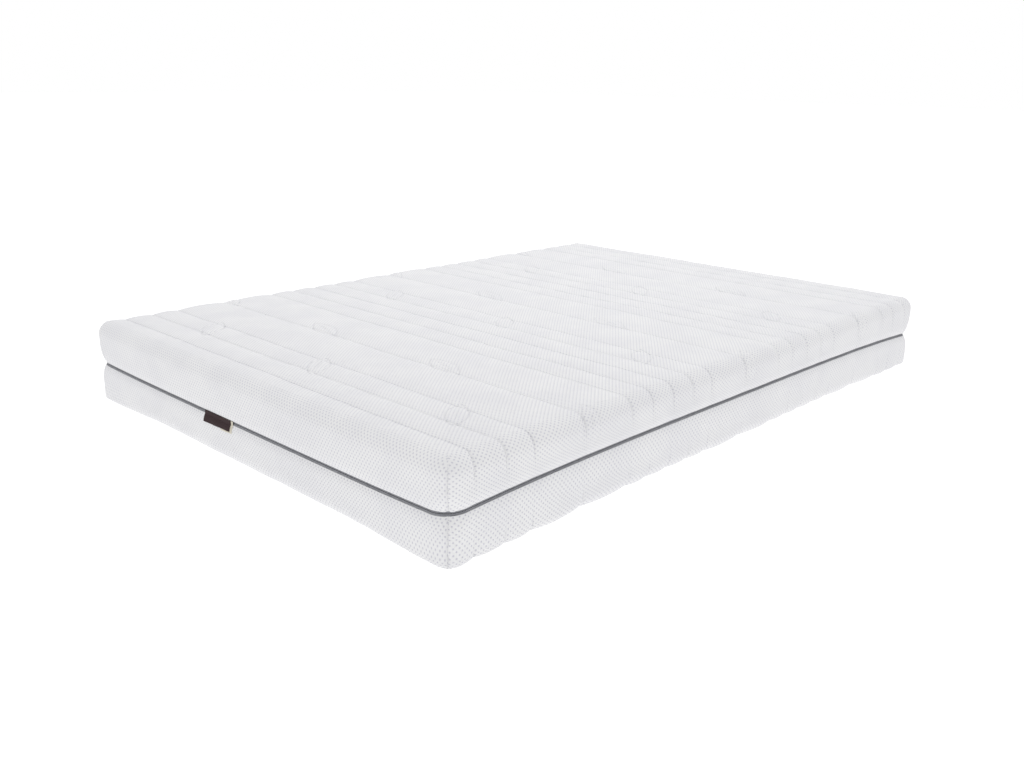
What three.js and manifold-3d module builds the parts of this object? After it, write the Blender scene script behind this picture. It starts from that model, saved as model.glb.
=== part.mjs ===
// Memory foam mattress: a foam core in a quilted cover of two halves joined by a zip all round.
// Millimetres, +Z up. The origin is at the middle of the underside.
// The foot end, with the label, is at -X and the head end at +X. The right side is at -Y, the left at +Y.
import * as THREE from 'three';
import { mergeVertices } from 'three/addons/utils/BufferGeometryUtils.js';
import Module from 'manifold-3d';

// Overall size.
const LENGTH = 2000;
const WIDTH = 1400;
const HEIGHT = 215;
const CORNER_RADIUS = 70;        // in plan, along the zip, which pulls the corners in
const PULLED_CORNER_RADIUS = 24; // in plan, away from the zip
const PULL_REACH = 45;           // the corners have this tighter radius beyond this distance from the zip
const BOTTOM_EDGE_RADIUS = 24;
const TOP_EDGE_RADIUS = 36;
const GAP = 0.3;

// Zip line: its height where it is level, and how far it strays on each side.
const ZIP_HEIGHT = 104;
const RIGHT_SIDE_RISE = 17;
const FOOT_END_DIP = 5;
const HEAD_RIGHT_DROP = 7;
const SIDE_REACH = 140;          // a side's own rise or dip fades out over this distance
const STRAIGHT_SPAN = 680;       // the foot end's dip is nothing beyond this distance from the middle
const SHIFT_FULL_BELOW = 94;     // the whole shift applies between these two heights
const SHIFT_FULL_ABOVE = 114;
const SHIFT_NONE_BELOW = 60;     // and none of it outside these two
const SHIFT_NONE_ABOVE = 156;

// Quilted cover, from the outside in.
const RIM_STANDOFF = 5;          // from the zip line to each cover half's rim
const RIM_INSET = 6;             // how far the rim is pinched in from the widest point
const KNIT_THICKNESS = 1;
const COVER_THICKNESS = 9.5;
const LINING_THICKNESS = 0.9;
// Each row is the height above the edge-side of the rim and the inset there, from the rim outwards.
const BULGE = [[0, RIM_INSET], [4, 4.3], [13, 2.1], [27, 0.5], [42, 0]];
const WADDING_FIRST_ROW = 2;     // the wadding stops short of the rim, at this row of the bulge
const EDGE_STEPS = 3;
const CORNER_STEPS = 4;
const LONG_SIDE_STATIONS = 4;
const SHORT_SIDE_STATIONS = 3;
const SMALLEST_RADIUS = 4;

// Foam core and its sleeve.
const SLEEVE_INSET = 13.4;
const SLEEVE_THICKNESS = 0.8;
const SLEEVE_OPENING_INSET = 180;
const SLEEVE_BOTTOM = COVER_THICKNESS + GAP;
const SLEEVE_TOP = HEIGHT - COVER_THICKNESS - GAP;
const SUPPORT_TOP = 120;
const COMFORT_TOP = 150;

// Zip. The zip line on the left side is straight and level, and the slider runs there.
const TAPE_INSET = 7.5;
const TAPE_THICKNESS = 0.8;
const TAPE_DEPTH = 12;           // from the zip line to the tape's sewn edge
const ZIP_OPENING = 1.6;         // clear space between the two tapes, for the slider's post
const COIL_WIDTH = 2.4;
const COIL_THICKNESS = 1.8;
const ZIP_START_X = 900;
const ZIP_END_X = 880;
const SLIDER_X = 868;

// Corner seams: a narrow ribbon of stitching up the middle of each rounded corner.
const SEAM_WIDTH = 1.6;
const SEAM_THICKNESS = 0.8;

// Small hard parts of the zip, all on the left side, where Y grows outwards.
const TAPE_FACE_Y = WIDTH / 2 - TAPE_INSET;
const TAPE_BACK_Y = TAPE_FACE_Y - TAPE_THICKNESS;
const COIL_BACK_Y = TAPE_BACK_Y - GAP - COIL_THICKNESS;
const STOP_LENGTH = 2.7;
const STOP_HEIGHT = 2.6;
const STOP_STANDOUT = 0.5;       // in front of the tape
const STOP_ROUNDING = 0.6;
const BOX_START_X = 891;
const BOX_END_X = ZIP_START_X - GAP;
const BOX_BOTTOM_Z = ZIP_HEIGHT - 3.6;
const BOX_TOP_Z = ZIP_HEIGHT + 0.6;
const BOX_ROUNDING = 0.5;
const BOX_END_WALL = 1;
const SOCKET_FLOOR_Z = ZIP_HEIGHT - 1.8;
const SOCKET_WIDTH = 2.4;
const PIN_RADIUS = 0.8;
const PIN_CLEARANCE = 0.4;
const PIN_LENGTH = 7.3;
const PIN_SIDES = 10;
const PIN_Z = SOCKET_FLOOR_Z + PIN_RADIUS + PIN_CLEARANCE;
const PIN_Y = (TAPE_FACE_Y + COIL_BACK_Y) / 2;
const FIN_THICKNESS = 0.8;
const FIN_START = 0.5;           // from the pin's tip
const FIN_END = 0.1;             // from the pin's root
const FIN_TOP_Z = ZIP_HEIGHT + 3;

// Slider, about the middle of its length and the zip line.
const SLIDER_LENGTH = 12;
const NOSE_HEIGHT = 9;
const NOSE_LENGTH = 3;
const NOSE_CHAMFER_X = 0.8;
const NOSE_CHAMFER_Z = 1;
const TAIL_HEIGHT = 7;
const TAIL_END_X = -1;           // where the plates start to widen towards the nose
const PLATE_THICKNESS = 1.2;
const PLATE_GAP = GAP + 0.8;     // behind the coils
const FRONT_PLATE_Y = TAPE_FACE_Y + GAP;
const BACK_PLATE_Y = COIL_BACK_Y - PLATE_GAP - PLATE_THICKNESS;
const OVERLAP = 0.5;             // of joined solids
const POST_THICKNESS = 1;
const POST_START_X = 1;
const POST_END_X = 5;
const FLANGE_THICKNESS = 0.8;
const FLANGE_RISE = 0.8;
const BRIDGE_HALF = 4.4;
const BRIDGE_RISE = 3;
const BRIDGE_WIDTH = 1.6;
const BRIDGE_BAR = 1;
const PULL_AXIS_Y = FRONT_PLATE_Y + PLATE_THICKNESS + 1;
const PULL_LENGTH = 28;
const PULL_WIDTH = 6.4;
const PULL_THICKNESS = 1.2;
const PULL_ROUNDING = 0.6;
const PULL_BAR = 0.6;            // on each side of the axis, before the eye
const PULL_EYE_END = 6;
const PULL_EYE_WIDTH = 3.4;
const OUTLINE_STEPS = 3;         // for each rounded corner

// Labels, on the foot end.
const LABEL_LEFT_Y = 142;
const LABEL_RIGHT_Y = 30;
const LABEL_TOP = 108.3;
const LABEL_BOTTOM = 80;
const LABEL_THICKNESS = 0.7;
const CARE_LEFT_Y = 70;
const CARE_RIGHT_Y = 22;
const CARE_BOTTOM = 76.5;
const CARE_THICKNESS = 0.3;

const COLOURS = {
  knit: 0xe8e8ea, wadding: 0xf4f4f2, lining: 0xdcdcd8, thread: 0xd9d9dc, tape: 0x7f8185,
  coil: 0x6c6e72, metal: 0x9a9ca0, label: 0x2b1a1b, care: 0xd8d2c2, sleeve: 0xf0efe9,
  memory: 0xf3e7c4, comfort: 0xdde6ee, support: 0xf2f2ee,
};

const mattress = new THREE.Group();
mattress.name = 'memory_foam_mattress';

const wasm = await Module();
wasm.setup();

function clamp01(value) {
  return THREE.MathUtils.clamp(value, 0, 1);
}

// ---- The plan: a rectangle with rounded corners, walked anticlockwise from the head-left corner.

function planRadius(z) {
  const share = clamp01((Math.abs(z - ZIP_HEIGHT) - RIM_STANDOFF) / (PULL_REACH - RIM_STANDOFF));
  return THREE.MathUtils.lerp(CORNER_RADIUS, PULLED_CORNER_RADIUS, share);
}

const CORNERS = [
  { name: 'head_left', x: 1, y: 1, start: 0, stations: LONG_SIDE_STATIONS },
  { name: 'foot_left', x: -1, y: 1, start: Math.PI / 2, stations: SHORT_SIDE_STATIONS },
  { name: 'foot_right', x: -1, y: -1, start: Math.PI, stations: LONG_SIDE_STATIONS },
  { name: 'head_right', x: 1, y: -1, start: 1.5 * Math.PI, stations: SHORT_SIDE_STATIONS },
];

function cornerPoint(corner, inset, angle, fullRadius) {
  const radius = Math.max(fullRadius - inset, SMALLEST_RADIUS);
  return new THREE.Vector2(
    corner.x * (LENGTH / 2 - inset - radius) + radius * Math.cos(angle),
    corner.y * (WIDTH / 2 - inset - radius) + radius * Math.sin(angle),
  );
}

function closedPlan(inset, fullRadius = CORNER_RADIUS) {
  const points = [];
  CORNERS.forEach((corner, index) => {
    for (let step = 0; step <= CORNER_STEPS; step += 1) {
      const angle = corner.start + (step / CORNER_STEPS) * (Math.PI / 2);
      points.push(cornerPoint(corner, inset, angle, fullRadius));
    }
    const from = points[points.length - 1];
    const next = CORNERS[(index + 1) % CORNERS.length];
    const to = cornerPoint(next, inset, next.start, fullRadius);
    for (let station = 1; station <= corner.stations; station += 1) {
      points.push(from.clone().lerp(to, station / (corner.stations + 1)));
    }
  });
  return points;
}

// The same walk, opened on the left side where the zip starts and ends.
function zipPlan(inset, fullRadius) {
  const points = closedPlan(inset, fullRadius);
  const cornerPoints = points.splice(0, CORNER_STEPS + 1);
  const y = WIDTH / 2 - inset;
  return [new THREE.Vector2(ZIP_END_X, y), ...points, ...cornerPoints, new THREE.Vector2(ZIP_START_X, y)];
}

// ---- The zip line's wander, shared by everything near it.

function zipShift(x, y) {
  const rightSide = clamp01((SIDE_REACH - (WIDTH / 2 - CORNER_RADIUS) - y) / SIDE_REACH);
  const footEnd = clamp01((SIDE_REACH - (LENGTH / 2 - CORNER_RADIUS) - x) / SIDE_REACH);
  const alongSide = clamp01(Math.abs(x) / (LENGTH / 2));
  const alongEnd = clamp01(Math.abs(y) / STRAIGHT_SPAN);
  const towardsHead = (1 + x / (LENGTH / 2)) / 2;
  const towardsRight = clamp01((1 - y / STRAIGHT_SPAN) / 2);
  return RIGHT_SIDE_RISE * rightSide * (1 - alongSide ** 4)
    - FOOT_END_DIP * footEnd * (1 - alongEnd ** 4)
    - HEAD_RIGHT_DROP * towardsHead * towardsRight;
}

function shiftWeight(z) {
  const below = (z - SHIFT_NONE_BELOW) / (SHIFT_FULL_BELOW - SHIFT_NONE_BELOW);
  const above = (SHIFT_NONE_ABOVE - z) / (SHIFT_NONE_ABOVE - SHIFT_FULL_ABOVE);
  return clamp01(Math.min(below, above));
}

function placed(point, z) {
  return new THREE.Vector3(point.x, point.y, z + zipShift(point.x, point.y) * shiftWeight(z));
}

function ringsAt(profile, plan = closedPlan) {
  return profile.map(([inset, z]) => plan(inset, planRadius(z)).map((point) => placed(point, z)));
}

// ---- Closed solids from grids of points.

function signedVolume(positions, triangles) {
  const [a, b, c] = [new THREE.Vector3(), new THREE.Vector3(), new THREE.Vector3()];
  let sum = 0;
  for (let i = 0; i < triangles.length; i += 3) {
    a.fromArray(positions, triangles[i] * 3);
    b.fromArray(positions, triangles[i + 1] * 3);
    c.fromArray(positions, triangles[i + 2] * 3);
    sum += a.dot(b.cross(c)) / 6;
  }
  return sum;
}

// outer and inner are grids of equal size, one row for each profile point. Without an inner grid
// the solid is filled. closed says that each row is a loop, and centred that the last row is
// filled in to its middle. Facing grids are split along the same diagonals, so they stay parallel.
function gridSolid({ outer, inner = null, closed = true, centred = false }) {
  const rows = outer.length;
  const columns = outer[0].length;
  const lastColumn = closed ? columns : columns - 1;
  const positions = [];
  const triangles = [];
  const addPoint = (point) => positions.push(point.x, point.y, point.z) / 3 - 1;
  const addFace = (a, b, c) => triangles.push(a, b, c);
  const addQuad = (a, b, c, d) => { addFace(a, b, c); addFace(a, c, d); };
  const skin = (grid, inwards) => {
    const index = grid.map((row) => row.map(addPoint));
    for (let row = 0; row + 1 < rows; row += 1) {
      for (let column = 0; column < lastColumn; column += 1) {
        const next = (column + 1) % columns;
        const corner = index[row][column];
        const opposite = index[row + 1][next];
        const sides = [index[row][next], index[row + 1][column]];
        if (inwards) sides.reverse();
        addFace(corner, sides[0], opposite);
        addFace(corner, opposite, sides[1]);
      }
    }
    return index;
  };
  const fan = (row, points, inwards) => {
    const middle = points.reduce((sum, point) => sum.add(point), new THREE.Vector3()).divideScalar(columns);
    const hub = addPoint(new THREE.Vector3(0, 0, middle.z));
    for (let column = 0; column < columns; column += 1) {
      const next = (column + 1) % columns;
      if (inwards) addFace(hub, row[next], row[column]);
      else addFace(hub, row[column], row[next]);
    }
  };
  const outside = skin(outer, false);
  if (!inner) {
    fan(outside[0], outer[0], true);
    fan(outside[rows - 1], outer[rows - 1], false);
  } else {
    const inside = skin(inner, true);
    const strip = (row, flipped) => {
      for (let column = 0; column < lastColumn; column += 1) {
        const next = (column + 1) % columns;
        const quad = [outside[row][next], outside[row][column], inside[row][column], inside[row][next]];
        addQuad(...(flipped ? quad.reverse() : quad));
      }
    };
    strip(0, false);
    if (centred) {
      fan(outside[rows - 1], outer[rows - 1], false);
      fan(inside[rows - 1], inner[rows - 1], true);
    } else {
      strip(rows - 1, true);
    }
    if (!closed) {
      for (let row = 0; row + 1 < rows; row += 1) {
        addQuad(outside[row][0], outside[row + 1][0], inside[row + 1][0], inside[row][0]);
        const end = columns - 1;
        addQuad(outside[row + 1][end], outside[row][end], inside[row][end], inside[row + 1][end]);
      }
    }
  }
  if (signedVolume(positions, triangles) < 0) triangles.reverse();
  const geometry = new THREE.BufferGeometry();
  geometry.setAttribute('position', new THREE.Float32BufferAttribute(positions, 3));
  geometry.setIndex(triangles);
  return geometry;
}

// ---- Joining small hard parts.

function solidOf(geometry) {
  const bare = geometry.clone();
  bare.deleteAttribute('normal');
  bare.deleteAttribute('uv');
  const merged = mergeVertices(bare, 1e-4);
  const mesh = new wasm.Mesh({
    numProp: 3,
    vertProperties: new Float32Array(merged.attributes.position.array),
    triVerts: new Uint32Array(merged.index.array),
  });
  return new wasm.Manifold(mesh);
}

function geometryOf(solid) {
  const mesh = solid.getMesh();
  const geometry = new THREE.BufferGeometry();
  geometry.setAttribute('position', new THREE.BufferAttribute(mesh.vertProperties, 3));
  geometry.setIndex(new THREE.BufferAttribute(mesh.triVerts, 1));
  return geometry;
}

// A box given by its lowest and highest corners.
function boxSolid(low, high) {
  const size = high.map((value, axis) => value - low[axis]);
  const box = new THREE.BoxGeometry(...size);
  box.translate(...low.map((value, axis) => value + size[axis] / 2));
  return solidOf(box);
}

// A flat plate in the XZ plane, from y0 outwards, with an outline given as a shape in X and Z.
function plateSolid(shape, y0, thickness) {
  const plate = new THREE.ExtrudeGeometry(shape, { depth: thickness, bevelEnabled: false, curveSegments: OUTLINE_STEPS });
  plate.rotateX(Math.PI / 2);
  plate.translate(0, y0 + thickness, 0);
  return solidOf(plate);
}

function roundedRectangle(x0, x1, z0, z1, radius) {
  const shape = new THREE.Shape();
  shape.moveTo(x0 + radius, z0);
  shape.lineTo(x1 - radius, z0);
  shape.absarc(x1 - radius, z0 + radius, radius, -Math.PI / 2, 0, false);
  shape.lineTo(x1, z1 - radius);
  shape.absarc(x1 - radius, z1 - radius, radius, 0, Math.PI / 2, false);
  shape.lineTo(x0 + radius, z1);
  shape.absarc(x0 + radius, z1 - radius, radius, Math.PI / 2, Math.PI, false);
  shape.lineTo(x0, z0 + radius);
  shape.absarc(x0 + radius, z0 + radius, radius, Math.PI, 1.5 * Math.PI, false);
  return shape;
}

function addPart(name, geometry, colour, roughness = 0.9, metalness = 0) {
  const material = new THREE.MeshStandardMaterial({ color: COLOURS[colour], roughness, metalness });
  const mesh = new THREE.Mesh(geometry, material);
  mesh.name = name;
  mattress.add(mesh);
}

// ---- Cover halves. up is 1 for the upper half and -1 for the lower.

// The outer surface from the rim to the flat face, each point with its inward direction.
function coverProfile(up) {
  const rimZ = ZIP_HEIGHT + up * RIM_STANDOFF;
  const radius = up > 0 ? TOP_EDGE_RADIUS : BOTTOM_EDGE_RADIUS;
  const faceZ = up > 0 ? HEIGHT : 0;
  const rows = BULGE.map(([rise, inset]) => ({ inset, z: rimZ + up * rise, inX: 1, inZ: 0 }));
  for (let step = 0; step <= EDGE_STEPS; step += 1) {
    const angle = (step / EDGE_STEPS) * (Math.PI / 2);
    rows.push({
      inset: radius * (1 - Math.cos(angle)),
      z: faceZ - up * radius * (1 - Math.sin(angle)),
      inX: Math.cos(angle),
      inZ: -up * Math.sin(angle),
    });
  }
  return rows;
}

function sunk(row, depth) {
  return [row.inset + depth * row.inX, row.z + depth * row.inZ];
}

// Near the rim the inner layers keep to an upright wall, whatever the outside does.
function uprightDepth(row, index, depth) {
  return index < BULGE.length ? depth - row.inset : depth;
}

function addCoverHalf(label, up) {
  const rows = coverProfile(up);
  const liningDepth = COVER_THICKNESS - LINING_THICKNESS;
  const knitOuter = rows.map((row) => sunk(row, 0));
  const knitInner = rows.map((row) => sunk(row, KNIT_THICKNESS));
  const wadRows = rows.slice(WADDING_FIRST_ROW);
  const wadOuter = wadRows.map((row) => sunk(row, KNIT_THICKNESS + GAP));
  const wadInner = wadRows.map((row, index) => (
    sunk(row, uprightDepth(row, index + WADDING_FIRST_ROW, liningDepth - GAP))));
  const liningOuter = rows.map((row, index) => sunk(row, uprightDepth(row, index, liningDepth)));
  const liningInner = rows.map((row, index) => sunk(row, uprightDepth(row, index, COVER_THICKNESS)));
  const tray = (outer, inner) => gridSolid({ outer: ringsAt(outer), inner: ringsAt(inner), centred: true });
  addPart(`cover_${label}_knit`, tray(knitOuter, knitInner), 'knit');
  addPart(`cover_${label}_wadding`, tray(wadOuter, wadInner), 'wadding');
  addPart(`cover_${label}_lining`, tray(liningOuter, liningInner), 'lining');
}

// ---- Corner seams, from the rim to just before the flat face.

function addCornerSeams(label, up) {
  const rows = coverProfile(up).slice(0, -1);
  for (const corner of CORNERS) {
    const angle = corner.start + Math.PI / 4;
    const across = new THREE.Vector2(-Math.sin(angle), Math.cos(angle)).multiplyScalar(SEAM_WIDTH / 2);
    const grid = (depth) => rows.map((row) => {
      const [inset, z] = sunk(row, -depth);
      const middle = cornerPoint(corner, inset, angle, planRadius(z));
      return [middle.clone().sub(across), middle.clone().add(across)].map((point) => placed(point, z));
    });
    const seam = gridSolid({ outer: grid(GAP + SEAM_THICKNESS), inner: grid(GAP), closed: false });
    addPart(`corner_seam_${label}_${corner.name}`, seam, 'thread', 0.8);
  }
}

// ---- Zip tapes and coils.

function addZipHalf(label, up) {
  const innerEdge = ZIP_HEIGHT + up * (ZIP_OPENING / 2);
  const strip = (inset, thickness, heights) => gridSolid({
    outer: ringsAt(heights.map((z) => [inset, z]), zipPlan),
    inner: ringsAt(heights.map((z) => [inset + thickness, z]), zipPlan),
    closed: false,
  });
  const rim = ZIP_HEIGHT + up * RIM_STANDOFF;
  const sewnEdge = ZIP_HEIGHT + up * TAPE_DEPTH;
  addPart(`zip_tape_${label}`, strip(TAPE_INSET, TAPE_THICKNESS, [innerEdge, rim, sewnEdge]), 'tape', 0.8);
  const coilInset = TAPE_INSET + TAPE_THICKNESS + GAP;
  addPart(`zip_coil_${label}`, strip(coilInset, COIL_THICKNESS, [innerEdge, innerEdge + up * COIL_WIDTH]), 'coil', 0.5);
}

// ---- Small hard parts of the zip.

function addZipStop(label, up) {
  const near = ZIP_HEIGHT + up * (ZIP_OPENING / 2);
  const far = near + up * STOP_HEIGHT;
  const x0 = ZIP_END_X + GAP;
  const outline = roundedRectangle(x0, x0 + STOP_LENGTH, Math.min(near, far), Math.max(near, far), STOP_ROUNDING);
  const depth = TAPE_FACE_Y + STOP_STANDOUT - COIL_BACK_Y;
  addPart(`zip_stop_${label}`, geometryOf(plateSolid(outline, COIL_BACK_Y, depth)), 'metal', 0.4, 0.8);
}

// The retainer box is a trough that is open upwards, and the pin lies in it.
function addRetainerAndPin() {
  const outline = roundedRectangle(BOX_START_X, BOX_END_X, BOX_BOTTOM_Z, BOX_TOP_Z, BOX_ROUNDING);
  const block = plateSolid(outline, PIN_Y - SOCKET_WIDTH, 2 * SOCKET_WIDTH);
  const socket = boxSolid(
    [BOX_START_X + BOX_END_WALL, PIN_Y - SOCKET_WIDTH / 2, SOCKET_FLOOR_Z],
    [BOX_END_X + BOX_END_WALL, PIN_Y + SOCKET_WIDTH / 2, BOX_TOP_Z + OVERLAP],
  );
  addPart('zip_retainer_box', geometryOf(block.subtract(socket)), 'coil', 0.5);

  const rod = new THREE.CylinderGeometry(PIN_RADIUS, PIN_RADIUS, PIN_LENGTH, PIN_SIDES);
  rod.rotateZ(Math.PI / 2);
  rod.translate(BOX_END_X - PIN_LENGTH / 2, PIN_Y, PIN_Z);
  const fin = boxSolid(
    [BOX_END_X - PIN_LENGTH + FIN_START, PIN_Y - FIN_THICKNESS / 2, PIN_Z],
    [BOX_END_X - FIN_END, PIN_Y + FIN_THICKNESS / 2, FIN_TOP_Z],
  );
  addPart('zip_insertion_pin', geometryOf(solidOf(rod).add(fin)), 'coil', 0.5);
}

// The plates' outline, in X and Z: parallel at the tail and wider at the nose.
function sliderOutline() {
  const half = SLIDER_LENGTH / 2;
  const upperSide = [
    [-half, TAIL_HEIGHT / 2],
    [TAIL_END_X, TAIL_HEIGHT / 2],
    [half - NOSE_LENGTH, NOSE_HEIGHT / 2],
    [half - NOSE_CHAMFER_X, NOSE_HEIGHT / 2],
    [half, NOSE_HEIGHT / 2 - NOSE_CHAMFER_Z],
  ];
  const lowerSide = upperSide.map(([x, z]) => [x, -z]);
  return new THREE.Shape([...lowerSide, ...upperSide.reverse()].map(([x, z]) => new THREE.Vector2(x, z)));
}

function addSlider() {
  const half = SLIDER_LENGTH / 2;
  const outline = sliderOutline();
  const plateTop = FRONT_PLATE_Y + PLATE_THICKNESS;
  const bridgeLeg = BRIDGE_HALF - BRIDGE_BAR / 2;
  let slider = plateSolid(outline, FRONT_PLATE_Y, PLATE_THICKNESS)
    .add(plateSolid(outline, BACK_PLATE_Y, PLATE_THICKNESS))
    .add(boxSolid(
      [POST_START_X, BACK_PLATE_Y + OVERLAP, -POST_THICKNESS / 2],
      [POST_END_X, FRONT_PLATE_Y + OVERLAP, POST_THICKNESS / 2],
    ))
    .add(boxSolid(
      [-BRIDGE_HALF, plateTop + BRIDGE_RISE - BRIDGE_BAR, -BRIDGE_WIDTH / 2],
      [BRIDGE_HALF, plateTop + BRIDGE_RISE, BRIDGE_WIDTH / 2],
    ));
  for (const side of [-1, 1]) {
    const flangeZ = side > 0 ? TAIL_HEIGHT / 2 - FLANGE_THICKNESS : -TAIL_HEIGHT / 2;
    slider = slider
      .add(boxSolid(
        [-half + OVERLAP, BACK_PLATE_Y + OVERLAP, flangeZ],
        [0, BACK_PLATE_Y + PLATE_THICKNESS + FLANGE_RISE, flangeZ + FLANGE_THICKNESS],
      ))
      .add(boxSolid(
        [side * bridgeLeg - BRIDGE_BAR / 2, plateTop - OVERLAP, -BRIDGE_WIDTH / 2],
        [side * bridgeLeg + BRIDGE_BAR / 2, plateTop + BRIDGE_RISE - OVERLAP, BRIDGE_WIDTH / 2],
      ));
  }
  addPart('zip_slider', geometryOf(slider.translate([SLIDER_X, 0, ZIP_HEIGHT])), 'metal', 0.4, 0.8);
}

// The tab lies along the zip, away from the zip's end. Its eye goes round the slider's bridge.
function addPullTab() {
  const outline = roundedRectangle(-PULL_LENGTH, PULL_BAR, -PULL_WIDTH / 2, PULL_WIDTH / 2, PULL_ROUNDING);
  const eye = boxSolid(
    [-PULL_EYE_END, -PULL_THICKNESS, -PULL_EYE_WIDTH / 2],
    [-PULL_BAR, PULL_THICKNESS, PULL_EYE_WIDTH / 2],
  );
  const tab = plateSolid(outline, -PULL_THICKNESS / 2, PULL_THICKNESS)
    .subtract(eye)
    .translate([SLIDER_X, PULL_AXIS_Y, ZIP_HEIGHT]);
  addPart('zip_pull_tab', geometryOf(tab), 'metal', 0.4, 0.8);
}

// ---- Foam core: three blocks in a thin sleeve.

// A quarter of an ellipse, from the upright side round to the flat face. depth is measured from the
// sleeve's outer surface.
function roundedEdge(up, depth) {
  const radius = up > 0 ? TOP_EDGE_RADIUS : BOTTOM_EDGE_RADIUS;
  const face = up > 0 ? SLEEVE_TOP - depth : SLEEVE_BOTTOM + depth;
  const centreZ = up > 0 ? HEIGHT - radius : radius;
  const rows = [];
  for (let step = 0; step <= EDGE_STEPS; step += 1) {
    const angle = (step / EDGE_STEPS) * (Math.PI / 2);
    const inset = radius - (radius - SLEEVE_INSET - depth) * Math.cos(angle);
    rows.push([inset, centreZ + (face - centreZ) * Math.sin(angle)]);
  }
  return rows;
}

function plainRings(profile) {
  return profile.map(([inset, z]) => closedPlan(inset).map((point) => new THREE.Vector3(point.x, point.y, z)));
}

function addFoamCore() {
  const foam = SLEEVE_THICKNESS + GAP;
  const side = SLEEVE_INSET + foam;
  const blocks = [
    ['support_core', [...roundedEdge(-1, foam).reverse(), [side, SUPPORT_TOP]], 'support'],
    ['comfort_foam', [[side, SUPPORT_TOP + GAP], [side, COMFORT_TOP]], 'comfort'],
    ['memory_foam', [[side, COMFORT_TOP + GAP], ...roundedEdge(1, foam)], 'memory'],
  ];
  for (const [name, profile, colour] of blocks) {
    addPart(name, gridSolid({ outer: plainRings(profile) }), colour, 1);
  }
  const sleeveRows = (depth) => [
    [SLEEVE_OPENING_INSET, SLEEVE_BOTTOM + depth],
    ...roundedEdge(-1, depth).reverse(),
    ...roundedEdge(1, depth),
  ];
  const sleeve = gridSolid({
    outer: plainRings(sleeveRows(0)),
    inner: plainRings(sleeveRows(SLEEVE_THICKNESS)),
    centred: true,
  });
  addPart('core_sleeve', sleeve, 'sleeve');
}

// ---- Labels, sewn under the upper half's rim so that they hang over the zip.

// The lower half's surface at a height, as an inset, followed by a label lying on it.
function lowerInset(z) {
  const rise = ZIP_HEIGHT - RIM_STANDOFF - z;
  const index = Math.max(1, BULGE.findIndex(([height]) => height >= rise));
  const [lowRise, lowInset] = BULGE[index - 1];
  const [highRise, highInset] = BULGE[index];
  return THREE.MathUtils.mapLinear(Math.max(rise, lowRise), lowRise, highRise, lowInset, highInset);
}

function addLabel(name, yLeft, yRight, bottom, clearance, thickness, colour) {
  const rimZ = ZIP_HEIGHT - RIM_STANDOFF;
  const heights = [LABEL_TOP, rimZ, rimZ - BULGE[1][0], rimZ - BULGE[2][0], bottom];
  const grid = (depth) => heights.map((z) => {
    const x = -(LENGTH / 2 - lowerInset(z) + depth);
    return [yLeft, yRight].map((y) => placed(new THREE.Vector2(x, y), z));
  });
  const label = gridSolid({ outer: grid(clearance + thickness), inner: grid(clearance), closed: false });
  addPart(name, label, colour, 0.8);
}

for (const [label, up] of [['bottom', -1], ['top', 1]]) {
  addCoverHalf(label, up);
  addCornerSeams(label, up);
  addZipHalf(label, up);
  addZipStop(label, up);
}
addRetainerAndPin();
addSlider();
addPullTab();
addFoamCore();
addLabel('care_label', CARE_LEFT_Y, CARE_RIGHT_Y, CARE_BOTTOM, GAP, CARE_THICKNESS, 'care');
addLabel(
  'woven_label', LABEL_LEFT_Y, LABEL_RIGHT_Y, LABEL_BOTTOM, 2 * GAP + CARE_THICKNESS, LABEL_THICKNESS, 'label',
);

export default mattress;
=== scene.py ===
"""Memory foam mattress: a foam core in a quilted knit cover of two halves, zipped together all round.

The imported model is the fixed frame. This script builds the visible pieces around it, in metres: the two
quilted cover halves with their linings and stitching, the zip, the labels, the sleeve and the foam blocks.
The foot end, with the label, is at -X. The right side is at -Y. The left side, where the zip ends, is at +Y.
"""

import logging
import math
from collections.abc import Iterator, Sequence
from contextlib import contextmanager
from dataclasses import dataclass, field
from enum import Enum

import bmesh
import bpy
import numpy as np
from mathutils import Matrix, Vector
from mathutils.bvhtree import BVHTree


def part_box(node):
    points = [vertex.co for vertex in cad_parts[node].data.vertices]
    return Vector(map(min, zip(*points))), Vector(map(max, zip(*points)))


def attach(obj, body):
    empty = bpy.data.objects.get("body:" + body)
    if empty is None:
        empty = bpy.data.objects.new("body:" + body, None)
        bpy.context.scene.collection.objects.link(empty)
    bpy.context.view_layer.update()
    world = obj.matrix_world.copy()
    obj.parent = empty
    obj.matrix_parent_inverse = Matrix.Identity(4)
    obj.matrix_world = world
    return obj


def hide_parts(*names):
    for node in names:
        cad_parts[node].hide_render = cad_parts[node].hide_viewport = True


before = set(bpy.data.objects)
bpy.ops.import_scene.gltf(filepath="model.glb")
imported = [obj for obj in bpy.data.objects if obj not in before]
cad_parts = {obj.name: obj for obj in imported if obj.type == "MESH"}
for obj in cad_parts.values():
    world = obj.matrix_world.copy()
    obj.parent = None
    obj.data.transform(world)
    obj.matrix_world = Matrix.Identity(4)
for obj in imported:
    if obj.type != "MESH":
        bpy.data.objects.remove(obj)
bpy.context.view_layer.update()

LOG = logging.getLogger("mattress")
MM = 0.001


class Half(Enum):
    """The two halves of the cover. The value is the way each one's flat face looks."""

    LOWER = -1
    UPPER = 1

    @property
    def label(self) -> str:
        """The word for this half in the names of nodes and pieces."""
        return "top" if self is Half.UPPER else "bottom"

    @property
    def body(self) -> str:
        """The body of the frame that this half's pieces ride on."""
        return f"cover_{self.label}"


class Pick(Enum):
    """What edit mode selects: points, edges or faces."""

    POINTS = (True, False, False)
    EDGES = (False, True, False)
    FACES = (False, False, True)


# ---- Small helpers for meshes.


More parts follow.
